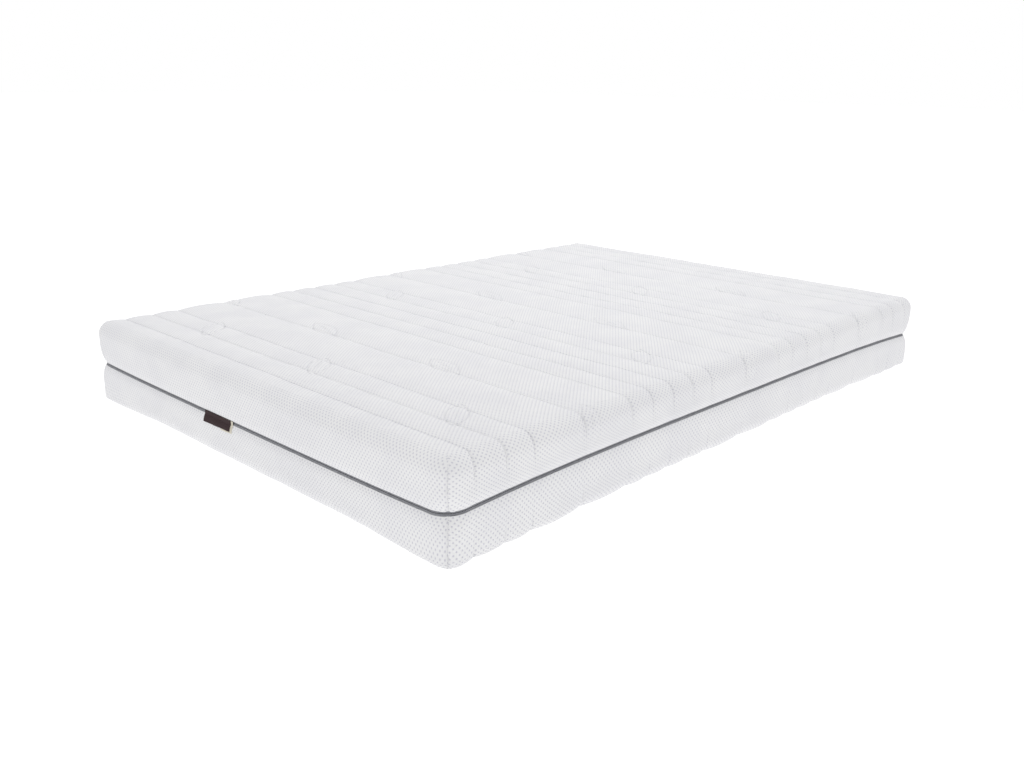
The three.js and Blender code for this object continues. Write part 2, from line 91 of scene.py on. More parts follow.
def smooth(share: np.ndarray) -> np.ndarray:
    """Turns a share into a smooth step that is level at 0 and at 1.

    Args:
        share: values that run from 0 to 1, and are held there beyond.

    Returns:
        The eased values.
    """
    held = np.clip(share, 0.0, 1.0)
    return held * held * (3.0 - 2.0 * held)


def activate(*pieces: bpy.types.Object) -> None:
    """Selects these pieces and nothing else, and makes the first one active.

    Args:
        pieces: the objects to select.
    """
    bpy.ops.object.select_all(action="DESELECT")
    for piece in pieces:
        piece.select_set(True)
    bpy.context.view_layer.objects.active = pieces[0]


@contextmanager
def editing(piece: bpy.types.Object, pick: Pick) -> Iterator[None]:
    """Holds a piece in edit mode while the block runs.

    Args:
        piece: the object to edit.
        pick: what the operators in the block select.

    Yields:
        Nothing, while edit mode is on.
    """
    activate(piece)
    bpy.context.tool_settings.mesh_select_mode = pick.value
    bpy.ops.object.mode_set(mode="EDIT")
    try:
        yield
    finally:
        bpy.ops.object.mode_set(mode="OBJECT")


def points_of(piece: bpy.types.Object) -> np.ndarray:
    """Reads a piece's points.

    Args:
        piece: a mesh object.

    Returns:
        One row of x, y and z for each point.
    """
    found = np.empty(len(piece.data.vertices) * 3)
    piece.data.vertices.foreach_get("co", found)
    return found.reshape(-1, 3)


def move_points(piece: bpy.types.Object, places: np.ndarray) -> None:
    """Puts a piece's points in new places.

    Args:
        piece: a mesh object.
        places: one row of x, y and z for each point.
    """
    piece.data.vertices.foreach_set("co", np.ascontiguousarray(places).ravel())
    piece.data.update()


def normals_of(piece: bpy.types.Object) -> np.ndarray:
    """Reads the direction that a piece's surface faces at each point.

    Args:
        piece: a mesh object.

    Returns:
        One row of x, y and z for each point.
    """
    found = np.empty(len(piece.data.vertices) * 3, np.float32)
    piece.data.vertex_normals.foreach_get("vector", found)
    return found.reshape(-1, 3).astype(float)


def choose_faces(piece: bpy.types.Object, chosen: np.ndarray) -> None:
    """Marks the faces that edit mode starts with.

    Args:
        piece: a mesh object.
        chosen: true for each face to select.
    """
    mesh = piece.data
    mesh.vertices.foreach_set("select", np.zeros(len(mesh.vertices), bool))
    mesh.edges.foreach_set("select", np.zeros(len(mesh.edges), bool))
    mesh.polygons.foreach_set("select", chosen)


def face_centres(piece: bpy.types.Object) -> np.ndarray:
    """Finds the middle of each face.

    Args:
        piece: a mesh object.

    Returns:
        One row of x, y and z for each face.
    """
    found = np.empty(len(piece.data.polygons) * 3, np.float32)
    piece.data.polygons.foreach_get("center", found)
    return found.reshape(-1, 3).astype(float)


def flat_grid(name: str, columns: np.ndarray, rows: np.ndarray) -> bpy.types.Object:
    """Adds a flat grid with lines at the given places.

    Args:
        name: the new object's name.
        columns: where the grid has points along X.
        rows: where it has them along Y.

    Returns:
        The grid, whose columns run fastest in its order of points.
    """
    bpy.ops.object.select_all(action="DESELECT")
    bpy.ops.mesh.primitive_grid_add(
        x_subdivisions=len(columns) - 1, y_subdivisions=len(rows) - 1, size=1.0, location=(0.0, 0.0, 0.0)
    )
    grid = bpy.context.object
    grid.name = name
    grid.data.name = name
    unit = points_of(grid)
    column = np.rint((unit[:, 0] + 0.5) * (len(columns) - 1)).astype(int)
    row = np.rint((unit[:, 1] + 0.5) * (len(rows) - 1)).astype(int)
    move_points(grid, np.column_stack([columns[column], rows[row], np.zeros(len(unit))]))
    return grid


def write_uv(piece: bpy.types.Object, across: np.ndarray, along: np.ndarray) -> None:
    """Writes a piece's UV map from one place per point.

    Args:
        piece: a mesh object with a UV map.
        across: the first coordinate of each point, in metres of cloth.
        along: the second coordinate.
    """
    corner = np.empty(len(piece.data.loops), np.int32)
    piece.data.loops.foreach_get("vertex_index", corner)
    uv = np.column_stack([across, along])[corner]
    piece.data.uv_layers.active.data.foreach_set("uv", uv.ravel().astype(np.float32))


def weld(piece: bpy.types.Object, distance: float) -> None:
    """Merges points that lie together.

    Args:
        piece: a mesh object.
        distance: how near they have to be.
    """
    with editing(piece, Pick.POINTS):
        bpy.ops.mesh.select_all(action="SELECT")
        bpy.ops.mesh.remove_doubles(threshold=distance)


def apply_modifier(piece: bpy.types.Object, kind: str, **settings: object) -> None:
    """Adds a modifier to a piece and applies it.

    Args:
        piece: a mesh object.
        kind: the modifier's type.
        settings: its values.
    """
    activate(piece)
    modifier = piece.modifiers.new(kind.title(), kind)
    for key, value in settings.items():
        setattr(modifier, key, value)
    bpy.ops.object.modifier_apply(modifier=modifier.name)


def shade(piece: bpy.types.Object, angle_deg: float = 50.0) -> None:
    """Shades a piece smoothly, apart from its edges sharper than an angle.

    Args:
        piece: a mesh object.
        angle_deg: the angle in degrees.
    """
    activate(piece)
    bpy.ops.object.shade_smooth_by_angle(angle=math.radians(angle_deg))


def faces_outwards(piece: bpy.types.Object) -> None:
    """Turns the faces of a closed piece outwards.

    Args:
        piece: a closed mesh object.
    """
    with editing(piece, Pick.FACES):
        bpy.ops.mesh.select_all(action="SELECT")
        bpy.ops.mesh.normals_make_consistent(inside=False)


def join(first: bpy.types.Object, *others: bpy.types.Object) -> bpy.types.Object:
    """Joins meshes into the first one.

    Args:
        first: the object that stays.
        others: the objects that go into it.

    Returns:
        The joined object.
    """
    activate(first, *others)
    bpy.ops.object.join()
    return first


def walk_rim(start: bmesh.types.BMVert) -> list[bmesh.types.BMVert]:
    """Walks round an open rim, setting off towards +Y.

    Args:
        start: the point on the rim where the walk starts.

    Returns:
        The rim's points in the order of the walk.
    """
    ahead = [edge.other_vert(start) for edge in start.link_edges if edge.is_boundary]
    walk = [start, max(ahead, key=lambda point: point.co.y)]
    while walk[-1] is not start:
        onward = [edge.other_vert(walk[-1]) for edge in walk[-1].link_edges if edge.is_boundary]
        walk.append(next(point for point in onward if point is not walk[-2]))
    return walk[:-1]


def close_shell(front: bpy.types.Object, back: bpy.types.Object) -> None:
    """Makes one closed piece of two layers with matching open rims, and turns its faces outwards.

    Args:
        front: the layer that stays.
        back: the layer that goes into it.
    """
    count = len(front.data.vertices)
    near_middle = 3 * MM
    join(front, back)
    mesh = bmesh.new()
    mesh.from_mesh(front.data)
    mesh.verts.ensure_lookup_table()
    rims = []
    for layer in (mesh.verts[:count], mesh.verts[count:]):
        head = [point for point in layer if point.is_boundary and point.co.x > 0.0]
        rims.append(walk_rim(min(head, key=lambda point: abs(point.co.y - near_middle))))
    cloth = mesh.loops.layers.uv.active
    outer, inner = rims
    for place in range(len(outer)):
        after = (place + 1) % len(outer)
        strip = mesh.faces.new((outer[place], outer[after], inner[after], inner[place]))
        for corner in strip.loops:
            beside = next(loop for loop in corner.vert.link_loops if loop.face is not strip)
            corner[cloth].uv = beside[cloth].uv
    mesh.to_mesh(front.data)
    mesh.free()
    faces_outwards(front)


def dress(piece: bpy.types.Object, material: bpy.types.Material) -> None:
    """Gives a piece one material.

    Args:
        piece: a mesh object.
        material: the finish that it gets.
    """
    piece.data.materials.clear()
    piece.data.materials.append(material)


class SoftNoise:
    """A smooth random surface, made of waves in random directions, with values of about -1 to 1."""

    def __init__(self, seed: int, shortest: float, longest: float, waves: int = 16) -> None:
        """Draws the waves.

        Args:
            seed: the seed of the random draws.
            shortest: the shortest wavelength in metres.
            longest: the longest wavelength in metres.
            waves: how many waves are summed.
        """
        draw = np.random.default_rng(seed)
        turn = draw.uniform(0.0, 2.0 * math.pi, waves)
        rate = 2.0 * math.pi / np.exp(draw.uniform(math.log(shortest), math.log(longest), waves))
        self._kx = rate * np.cos(turn)
        self._ky = rate * np.sin(turn)
        self._phase = draw.uniform(0.0, 2.0 * math.pi, waves)

    def at(self, x: np.ndarray, y: np.ndarray) -> np.ndarray:
        """Reads the surface at places.

        Args:
            x: the first coordinate of each place.
            y: the second coordinate.

        Returns:
            One value for each place.
        """
        total = np.zeros(len(x))
        for kx, ky, phase in zip(self._kx, self._ky, self._phase):
            total += np.sin(kx * x + ky * y + phase)
        return total / math.sqrt(len(self._kx))


# ---- Finishes.

TIMES = {"operation": "MULTIPLY"}
PLUS = {"operation": "ADD"}
MINUS = {"operation": "SUBTRACT"}
COLOURS = {"data_type": "RGBA"}
SMOOTH_STEP = {"interpolation_type": "SMOOTHSTEP"}
FLAT_NOISE = {"noise_dimensions": "2D"}


def linear(code: str) -> tuple[float, float, float, float]:
    """Turns an sRGB hex colour into linear values.

    Args:
        code: the colour as RRGGBB.

    Returns:
        Red, green, blue and an alpha of 1.
    """
    channels = [int(code[i : i + 2], 16) / 255.0 for i in (0, 2, 4)]
    red, green, blue = [c / 12.92 if c <= 0.04045 else ((c + 0.055) / 1.055) ** 2.4 for c in channels]
    return red, green, blue, 1.0


def add_node(
    tree: bpy.types.NodeTree,
    kind: str,
    settings: dict[str, object] | None = None,
    inputs: dict[str | int, object] | None = None,
) -> bpy.types.Node:
    """Adds a node to a tree, with its settings and its links.

    Args:
        tree: the material's or the world's node tree.
        kind: the node's type without the ShaderNode at its front.
        settings: values of the node's own properties.
        inputs: for each input, by name or number, a value or the output socket that feeds it.

    Returns:
        The new node.
    """
    node = tree.nodes.new(f"ShaderNode{kind}")
    for key, value in (settings or {}).items():
        setattr(node, key, value)
    for key, value in (inputs or {}).items():
        if isinstance(value, bpy.types.NodeSocket):
            tree.links.new(value, node.inputs[key])
        else:
            node.inputs[key].default_value = value
    return node


def new_material(name: str) -> tuple[bpy.types.Material, bpy.types.NodeTree]:
    """Starts a material with an empty node tree.

    Args:
        name: the material's name.

    Returns:
        The material and its tree.
    """
    material = bpy.data.materials.new(name)
    material.use_nodes = True
    material.node_tree.nodes.clear()
    return material, material.node_tree


def surface(tree: bpy.types.NodeTree, inputs: dict[str | int, object]) -> None:
    """Ends a material's tree with its shader and output.

    Args:
        tree: the material's node tree.
        inputs: what the shader's inputs get.
    """
    shader = add_node(tree, "BsdfPrincipled", inputs=inputs)
    add_node(tree, "OutputMaterial", inputs={"Surface": shader.outputs["BSDF"]})


def cloth_place(tree: bpy.types.NodeTree) -> tuple[bpy.types.NodeSocket, bpy.types.bpy_prop_collection]:
    """Reads where a point lies on the flat cloth, in metres.

    Args:
        tree: the material's node tree.

    Returns:
        The place, and its parts X and Y.
    """
    place = add_node(tree, "UVMap", {"uv_map": "UVMap"}).outputs["UV"]
    return place, add_node(tree, "SeparateXYZ", inputs={0: place}).outputs


def stripes(
    tree: bpy.types.NodeTree, along: bpy.types.NodeSocket, pitch: float, wave: str = "SINE"
) -> bpy.types.NodeSocket:
    """Makes a pattern of even stripes.

    Args:
        tree: the material's node tree.
        along: the coordinate that the stripes follow each other along, in metres.
        pitch: the distance from one stripe to the next.
        wave: SINE or COSINE.

    Returns:
        A value that swings between -1 and 1.
    """
    turns = add_node(tree, "Math", TIMES, {0: along, 1: 2.0 * math.pi / pitch}).outputs[0]
    return add_node(tree, "Math", {"operation": wave}, {0: turns}).outputs[0]


@dataclass(frozen=True)
class JerseyKnit:
    """Double-jersey knit of white polyester and viscose, with tuck stitches that pull in small dimples.

    It gives a matt, slightly cool white with rows of dimples that shift by half from row to row. The dimples
    are painted a greyer, bluish colour, which is painted shade for the shade that falls in each recess.
    """

    colour: str = "E8E8E9"
    cloudy_colour: str = "E4E4E6"
    # painted shade: the grey-violet colour laid into each dimple stands in for the shade in the recess
    dimple_colour: str = "BCBBC8"
    dimple_pitch: float = 12.2 * MM
    row_pitch: float = 4.8 * MM
    yarn_pitch: float = 1.6 * MM  # the real courses are 0.8 mm apart, and are drawn twice as coarse to show
    dimple_depth: float = 0.9 * MM
    dimple_shade: float = 0.75
    loop_height: float = 0.10  # as a share of the dimple's depth

    def build(self) -> bpy.types.Material:
        """Builds the material on the cloth's own UV map, which is in metres.

        Returns:
            The knit.
        """
        material, tree = new_material("polyester_jersey_knit")
        place, parts = cloth_place(tree)
        across = stripes(tree, parts["X"], self.dimple_pitch, "COSINE")
        along = stripes(tree, parts["Y"], 2.0 * self.row_pitch, "COSINE")
        tucks = add_node(tree, "Math", TIMES, {0: across, 1: along}).outputs[0]
        dimple = add_node(
            tree, "MapRange", SMOOTH_STEP, {"Value": tucks, "From Min": 0.30, "From Max": 0.95}
        ).outputs["Result"]
        course = stripes(tree, parts["Y"], self.yarn_pitch)
        wale = stripes(tree, parts["X"], self.yarn_pitch)
        loops = add_node(tree, "Math", TIMES, {0: course, 1: wale}).outputs[0]
        low_loops = add_node(tree, "Math", TIMES, {0: loops, 1: self.loop_height}).outputs[0]
        relief = add_node(tree, "Math", MINUS, {0: low_loops, 1: dimple}).outputs[0]
        bump = add_node(
            tree, "Bump", inputs={"Strength": 0.55, "Distance": self.dimple_depth, "Height": relief}
        )
        cloud = add_node(
            tree, "TexNoise", FLAT_NOISE, {"Vector": place, "Scale": 9.0, "Detail": 3.0}
        ).outputs["Fac"]
        cloud_share = add_node(
            tree, "MapRange", SMOOTH_STEP, {"Value": cloud, "From Min": 0.3, "From Max": 0.7}
        ).outputs["Result"]
        pale = add_node(
            tree, "Mix", COLOURS,
            {"Factor": cloud_share, "A": linear(self.cloudy_colour), "B": linear(self.colour)},
        ).outputs["Result"]
        # painted shade in the dimples: the dimple mask blends the knit towards the painted shade colour
        shade_share = add_node(tree, "Math", TIMES, {0: dimple, 1: self.dimple_shade}).outputs[0]
        base = add_node(
            tree, "Mix", COLOURS, {"Factor": shade_share, "A": pale, "B": linear(self.dimple_colour)}
        ).outputs["Result"]
        surface(
            tree,
            {
                "Base Color": base,
                "Roughness": 0.92,
                "Specular IOR Level": 0.2,
                "Sheen Weight": 0.12,
                "Sheen Roughness": 0.6,
                "Normal": bump.outputs["Normal"],
            },
        )
        return material


@dataclass(frozen=True)
class Thread:
    """Twisted polyester sewing thread. It has a soft shine along its ply."""

    name: str = "polyester_thread"
    colour: str = "DADBE0"
    shadow: str = "B9BBC2"
    ply_pitch: float = 0.9 * MM
    bands_per_scale: float = 20.0 / 6.28  # the wave texture's bands in a metre at a scale of 1

    def build(self) -> bpy.types.Material:
        """Builds the thread.

        Returns:
            The material.
        """
        material, tree = new_material(self.name)
        place = add_node(tree, "TexCoord").outputs["Object"]
        twist = add_node(
            tree, "TexWave", {"bands_direction": "DIAGONAL"},
            {"Vector": place, "Scale": 1.0 / (self.bands_per_scale * self.ply_pitch)},
        ).outputs["Fac"]
        bump = add_node(tree, "Bump", inputs={"Strength": 0.4, "Distance": 0.1 * MM, "Height": twist})
        base = add_node(
            tree, "Mix", COLOURS, {"Factor": twist, "A": linear(self.shadow), "B": linear(self.colour)}
        ).outputs["Result"]
        surface(
            tree,
            {"Base Color": base, "Roughness": 0.6, "Sheen Weight": 0.2, "Normal": bump.outputs["Normal"]},
        )
        return material


@dataclass(frozen=True)
class Nonwoven:
    """Spunbond polypropylene. It is a flat grey-white felt with a pressed pattern of small squares."""

    name: str = "spunbond_lining"
    colour: str = "D9D9D5"
    pressed: str = "C6C6C1"
    cell: float = 2.4 * MM

    def build(self) -> bpy.types.Material:
        """Builds the felt.

        Returns:
            The material.
        """
        material, tree = new_material(self.name)
        place = add_node(tree, "TexCoord").outputs["Object"]
        squares = add_node(
            tree, "TexVoronoi", {"distance": "CHEBYCHEV"},
            {"Vector": place, "Scale": 1.0 / self.cell, "Randomness": 0.1},
        ).outputs["Distance"]
        press = add_node(
            tree, "MapRange", SMOOTH_STEP, {"Value": squares, "From Min": 0.15, "From Max": 0.4}
        ).outputs["Result"]
        fibres = add_node(
            tree, "TexNoise", inputs={"Vector": place, "Scale": 700.0, "Detail": 4.0}
        ).outputs["Fac"]
        low_fibres = add_node(tree, "Math", TIMES, {0: fibres, 1: 0.5}).outputs[0]
        height = add_node(tree, "Math", PLUS, {0: press, 1: low_fibres}).outputs[0]
        bump = add_node(tree, "Bump", inputs={"Strength": 0.4, "Distance": 0.2 * MM, "Height": height})
        base = add_node(
            tree, "Mix", COLOURS, {"Factor": press, "A": linear(self.pressed), "B": linear(self.colour)}
        ).outputs["Result"]
        surface(tree, {"Base Color": base, "Roughness": 0.85, "Normal": bump.outputs["Normal"]})
        return material


@dataclass(frozen=True)
class WovenTape:
    """Woven polyester zip tape, dyed grey. Fine ribs run along it, and its edges are a little paler."""

    colour: str = "85868C"
    edge_colour: str = "A3A4AA"
    rubbed: str = "C9CACE"
    rib_pitch: float = 0.9 * MM
    shown_width: float = 5.0 * MM

    def build(self) -> bpy.types.Material:
        """Builds the tape on its UV map, which has the distance across it in metres as its second part.

        Returns:
            The material.
        """
        material, tree = new_material("woven_polyester_tape")
        place, parts = cloth_place(tree)
        rib = stripes(tree, parts["Y"], self.rib_pitch)
        weft = stripes(tree, parts["X"], self.rib_pitch)
        crossings = add_node(tree, "Math", TIMES, {0: rib, 1: weft}).outputs[0]
        low_crossings = add_node(tree, "Math", TIMES, {0: crossings, 1: 0.6}).outputs[0]
        weave = add_node(tree, "Math", PLUS, {0: rib, 1: low_crossings}).outputs[0]
        edge = add_node(
            tree, "MapRange", SMOOTH_STEP,
            {"Value": parts["Y"], "From Min": 0.62 * self.shown_width, "From Max": self.shown_width},
        ).outputs["Result"]
        dyed = add_node(
            tree, "Mix", COLOURS, {"Factor": edge, "A": linear(self.colour), "B": linear(self.edge_colour)}
        ).outputs["Result"]
        tone = add_node(
            tree, "TexNoise", FLAT_NOISE, {"Vector": place, "Scale": 60.0, "Detail": 2.0}
        ).outputs["Fac"]
        wear = add_node(
            tree, "MapRange", SMOOTH_STEP,
            {"Value": tone, "From Min": 0.35, "From Max": 0.75, "To Max": 0.35},
        ).outputs["Result"]
        worn = add_node(
            tree, "Mix", {"data_type": "RGBA", "blend_type": "MULTIPLY"},
            {"Factor": wear, "A": dyed, "B": linear(self.rubbed)},
        ).outputs["Result"]
        bump = add_node(tree, "Bump", inputs={"Strength": 0.5, "Distance": 0.25 * MM, "Height": weave})
        surface(
            tree,
            {"Base Color": worn, "Roughness": 0.72, "Sheen Weight": 0.2, "Normal": bump.outputs["Normal"]},
        )
        return material


@dataclass(frozen=True)
class Nylon:
    """Moulded nylon in dark grey. It is smooth, with a broad soft shine."""

    name: str = "moulded_nylon"
    colour: str = "6A6C71"
    deep_colour: str = "5F6166"

    def build(self) -> bpy.types.Material:
        """Builds the nylon.

        Returns:
            The material.
        """
        material, tree = new_material(self.name)
        place = add_node(tree, "TexCoord").outputs["Object"]
        grain = add_node(
            tree, "TexNoise", inputs={"Vector": place, "Scale": 900.0, "Detail": 3.0}
        ).outputs["Fac"]
        bump = add_node(tree, "Bump", inputs={"Strength": 0.15, "Distance": 0.05 * MM, "Height": grain})
        base = add_node(
            tree, "Mix", COLOURS, {"Factor": grain, "A": linear(self.deep_colour), "B": linear(self.colour)}
        ).outputs["Result"]
        roughness = add_node(
            tree, "MapRange", SMOOTH_STEP,
            {"Value": grain, "From Min": 0.2, "From Max": 0.8, "To Min": 0.38, "To Max": 0.5},
        ).outputs["Result"]
        surface(
            tree,
            {"Base Color": base, "Roughness": roughness, "IOR": 1.53, "Normal": bump.outputs["Normal"]},
        )
        return material


@dataclass(frozen=True)
class DieCastZinc:
    """Die-cast zinc with a nickel plate. It is a mid-grey metal, rubbed a little dull on its flats."""

    colour: str = "A9ABAF"
    dull: str = "8E9095"

    def build(self) -> bpy.types.Material:
        """Builds the plated metal.

        Returns:
            The material.
        """
        material, tree = new_material("nickel_plated_zinc")
        place = add_node(tree, "TexCoord").outputs["Object"]
        cloud = add_node(
            tree, "TexNoise", inputs={"Vector": place, "Scale": 240.0, "Detail": 4.0}
        ).outputs["Fac"]
        rub = add_node(
            tree, "TexNoise", inputs={"Vector": place, "Scale": 1500.0, "Detail": 2.0}
        ).outputs["Fac"]
        bump = add_node(tree, "Bump", inputs={"Strength": 0.12, "Distance": 0.05 * MM, "Height": rub})
        base = add_node(
            tree, "Mix", COLOURS, {"Factor": cloud, "A": linear(self.dull), "B": linear(self.colour)}
        ).outputs["Result"]
        roughness = add_node(
            tree, "MapRange", SMOOTH_STEP,
            {"Value": cloud, "From Min": 0.3, "From Max": 0.7, "To Min": 0.28, "To Max": 0.46},
        ).outputs["Result"]
        surface(
            tree,
            {"Base Color": base, "Metallic": 1.0, "Roughness": roughness, "Normal": bump.outputs["Normal"]},
        )
        return material


@dataclass(frozen=True)
class LabelWeave:
    """Damask-woven polyester label. It has a close weave of fine ribs and a satin shine."""

    name: str
    colour: str
    rib_colour: str
    rib_pitch: float = 0.8 * MM
    sheen: float = 0.3

    def build(self) -> bpy.types.Material:
        """Builds the label cloth on its UV map, which is in metres.

        Returns:
            The material.
        """
        material, tree = new_material(self.name)
        _, parts = cloth_place(tree)
        warp = stripes(tree, parts["X"], self.rib_pitch)
        weft = stripes(tree, parts["Y"], self.rib_pitch)
        crossings = add_node(tree, "Math", TIMES, {0: warp, 1: weft}).outputs[0]
        raised = add_node(tree, "Math", PLUS, {0: crossings, 1: 1.0}).outputs[0]
        weave = add_node(tree, "Math", TIMES, {0: raised, 1: 0.5}).outputs[0]
        bump = add_node(tree, "Bump", inputs={"Strength": 0.5, "Distance": 0.15 * MM, "Height": weave})
        base = add_node(
            tree, "Mix", COLOURS, {"Factor": weave, "A": linear(self.rib_colour), "B": linear(self.colour)}
        ).outputs["Result"]
        surface(
            tree,
            {
                "Base Color": base,
                "Roughness": 0.7,
                "Specular IOR Level": 0.25,
                "Sheen Weight": self.sheen,
                "Normal": bump.outputs["Normal"],
            },
        )
        return material


@dataclass(frozen=True)
class Stockinette:
    """Thin ribbed stockinette of the inner sleeve. Its loops make fine upright ribs in a warm white."""

    colour: str = "F0EFE9"
    # painted shade: the darker valley colour stands in for the shade that falls between the ribs
    valley: str = "D8D6CD"
    rib_pitch: float = 4.0 * MM

    def build(self) -> bpy.types.Material:
        """Builds the stockinette on its UV map, which is in metres.

        Returns:
            The material.
        """
        material, tree = new_material("cotton_stockinette")
        _, parts = cloth_place(tree)
        rib = stripes(tree, parts["X"], self.rib_pitch)
        loop = stripes(tree, parts["Y"], self.rib_pitch)
        low_loop = add_node(tree, "Math", TIMES, {0: loop, 1: 0.35}).outputs[0]
        height = add_node(tree, "Math", PLUS, {0: rib, 1: low_loop}).outputs[0]
        bump = add_node(tree, "Bump", inputs={"Strength": 0.5, "Distance": 0.5 * MM, "Height": height})
        # painted shade in the rib valleys, blended in by the height of the ribs
        ridge = add_node(
            tree, "MapRange", SMOOTH_STEP, {"Value": height, "From Min": -1.2, "From Max": 0.6}
        ).outputs["Result"]
        base = add_node(
            tree, "Mix", COLOURS, {"Factor": ridge, "A": linear(self.valley), "B": linear(self.colour)}
        ).outputs["Result"]
        surface(
            tree,
            {"Base Color": base, "Roughness": 0.95, "Sheen Weight": 0.2, "Normal": bump.outputs["Normal"]},
        )
        return material


@dataclass(frozen=True)
class Foam:
    """Cut polyurethane foam. The knife leaves open cells, so it is matt and finely pitted."""

    name: str
    colour: str
    # painted shade: the darker pit colour stands in for the shade inside the open cells
    pit_colour: str
    cell: float

    def build(self) -> bpy.types.Material:
        """Builds the foam.

        Returns:
            The material.
        """
        material, tree = new_material(self.name)
        place = add_node(tree, "TexCoord").outputs["Object"]
        cells = add_node(
            tree, "TexVoronoi", inputs={"Vector": place, "Scale": 1.0 / self.cell}
        ).outputs["Distance"]
        pits = add_node(
            tree, "MapRange", SMOOTH_STEP, {"Value": cells, "From Min": 0.0, "From Max": 0.55}
        ).outputs["Result"]
        bump = add_node(tree, "Bump", inputs={"Strength": 0.7, "Distance": 0.4 * self.cell, "Height": pits})
        tone = add_node(
            tree, "TexNoise", inputs={"Vector": place, "Scale": 25.0, "Detail": 4.0}
        ).outputs["Fac"]
        shading = add_node(
            tree, "MapRange", SMOOTH_STEP,
            {"Value": tone, "From Min": 0.2, "From Max": 0.8, "To Min": 0.75, "To Max": 1.0},
        ).outputs["Result"]
        # painted shade in the cell pits, varied in patches by the noise tone
        shadow = add_node(tree, "Math", TIMES, {0: pits, 1: shading}).outputs[0]
        base = add_node(
            tree, "Mix", COLOURS, {"Factor": shadow, "A": linear(self.pit_colour), "B": linear(self.colour)}
        ).outputs["Result"]
        surface(
            tree,
            {
                "Base Color": base,
                "Roughness": 1.0,
                "Subsurface Weight": 0.1,
                "Subsurface Scale": 0.01,
                "Normal": bump.outputs["Normal"],
            },
        )
        return material


@dataclass(frozen=True)
class LitAcrylicFloor:
    """Opal acrylic sheet, lit from below. It reads as clean white and takes almost no shadow."""

    colour: str = "5A5A5A"
    light: str = "FFFFFF"
    glow: float = 1.06

    def build(self) -> bpy.types.Material:
        """Builds the acrylic.

        Returns:
            The material.
        """
        material, tree = new_material("lit_acrylic_floor")
        surface(
            tree,
            {
                "Base Color": linear(self.colour),
                "Roughness": 0.9,
                "Emission Color": linear(self.light),
                "Emission Strength": self.glow,
            },
        )
        return material


class Finishes:
    """Every finish of the mattress, each built once."""

    def __init__(self) -> None:
        """Builds the materials."""
        self.knit = JerseyKnit().build()
        self.thread = Thread().build()
        # painted shade: the corner seam thread is a darker grey than the quilting thread and stands in for
        # the shade in the seam crease
        self.seam_thread = Thread("corner_seam_thread", "B4B5BC", "8E9098").build()
        self.lining = Nonwoven().build()
        self.tape = WovenTape().build()
        self.coil = Nylon().build()
        self.metal = DieCastZinc().build()
        self.label = LabelWeave("woven_label_brown", "3A2628", "241416", sheen=0.0).build()
        self.care_label = LabelWeave("satin_care_label", "DCD6C6", "C4BDAA", sheen=0.5).build()
        self.sleeve = Stockinette().build()
        # the third colour of each foam is the painted shade of its cell pits
        self.memory = Foam("viscoelastic_foam", "F1E4C2", "D9C79C", 1.6 * MM).build()
        self.comfort = Foam("comfort_foam", "DCE6EF", "BCCAD8", 2.2 * MM).build()
        self.support = Foam("support_foam", "F2F1EC", "D7D6CF", 2.4 * MM).build()


# ---- The form that every soft piece follows.


@dataclass(frozen=True)
class Wall:
    """How the cover's surface runs from the border of its flat field over the edge and down to the rim.

    Each array has one value for each step on the way: the distance walked, how far the surface lies inside
    the widest outline, and its height. edge_end is the distance at which the round edge turns upright.
    """

    walked: np.ndarray
    inset: np.ndarray
    height: np.ndarray
    edge_end: float

    @property
    def length(self) -> float:
        """The whole way from the field's border to the rim."""
        return float(self.walked[-1])


@dataclass(frozen=True)
class Folded:
    """A flat panel's points after folding: their places, their places on the cloth, and where they are.

    over is the distance past the field's border, on_end is true on the flaps of the two short ends, and
    to_seam is the distance along the cloth to the nearest corner seam.
    """

    places: np.ndarray
    across: np.ndarray
    along: np.ndarray
    over: np.ndarray
    on_end: np.ndarray
    to_seam: np.ndarray


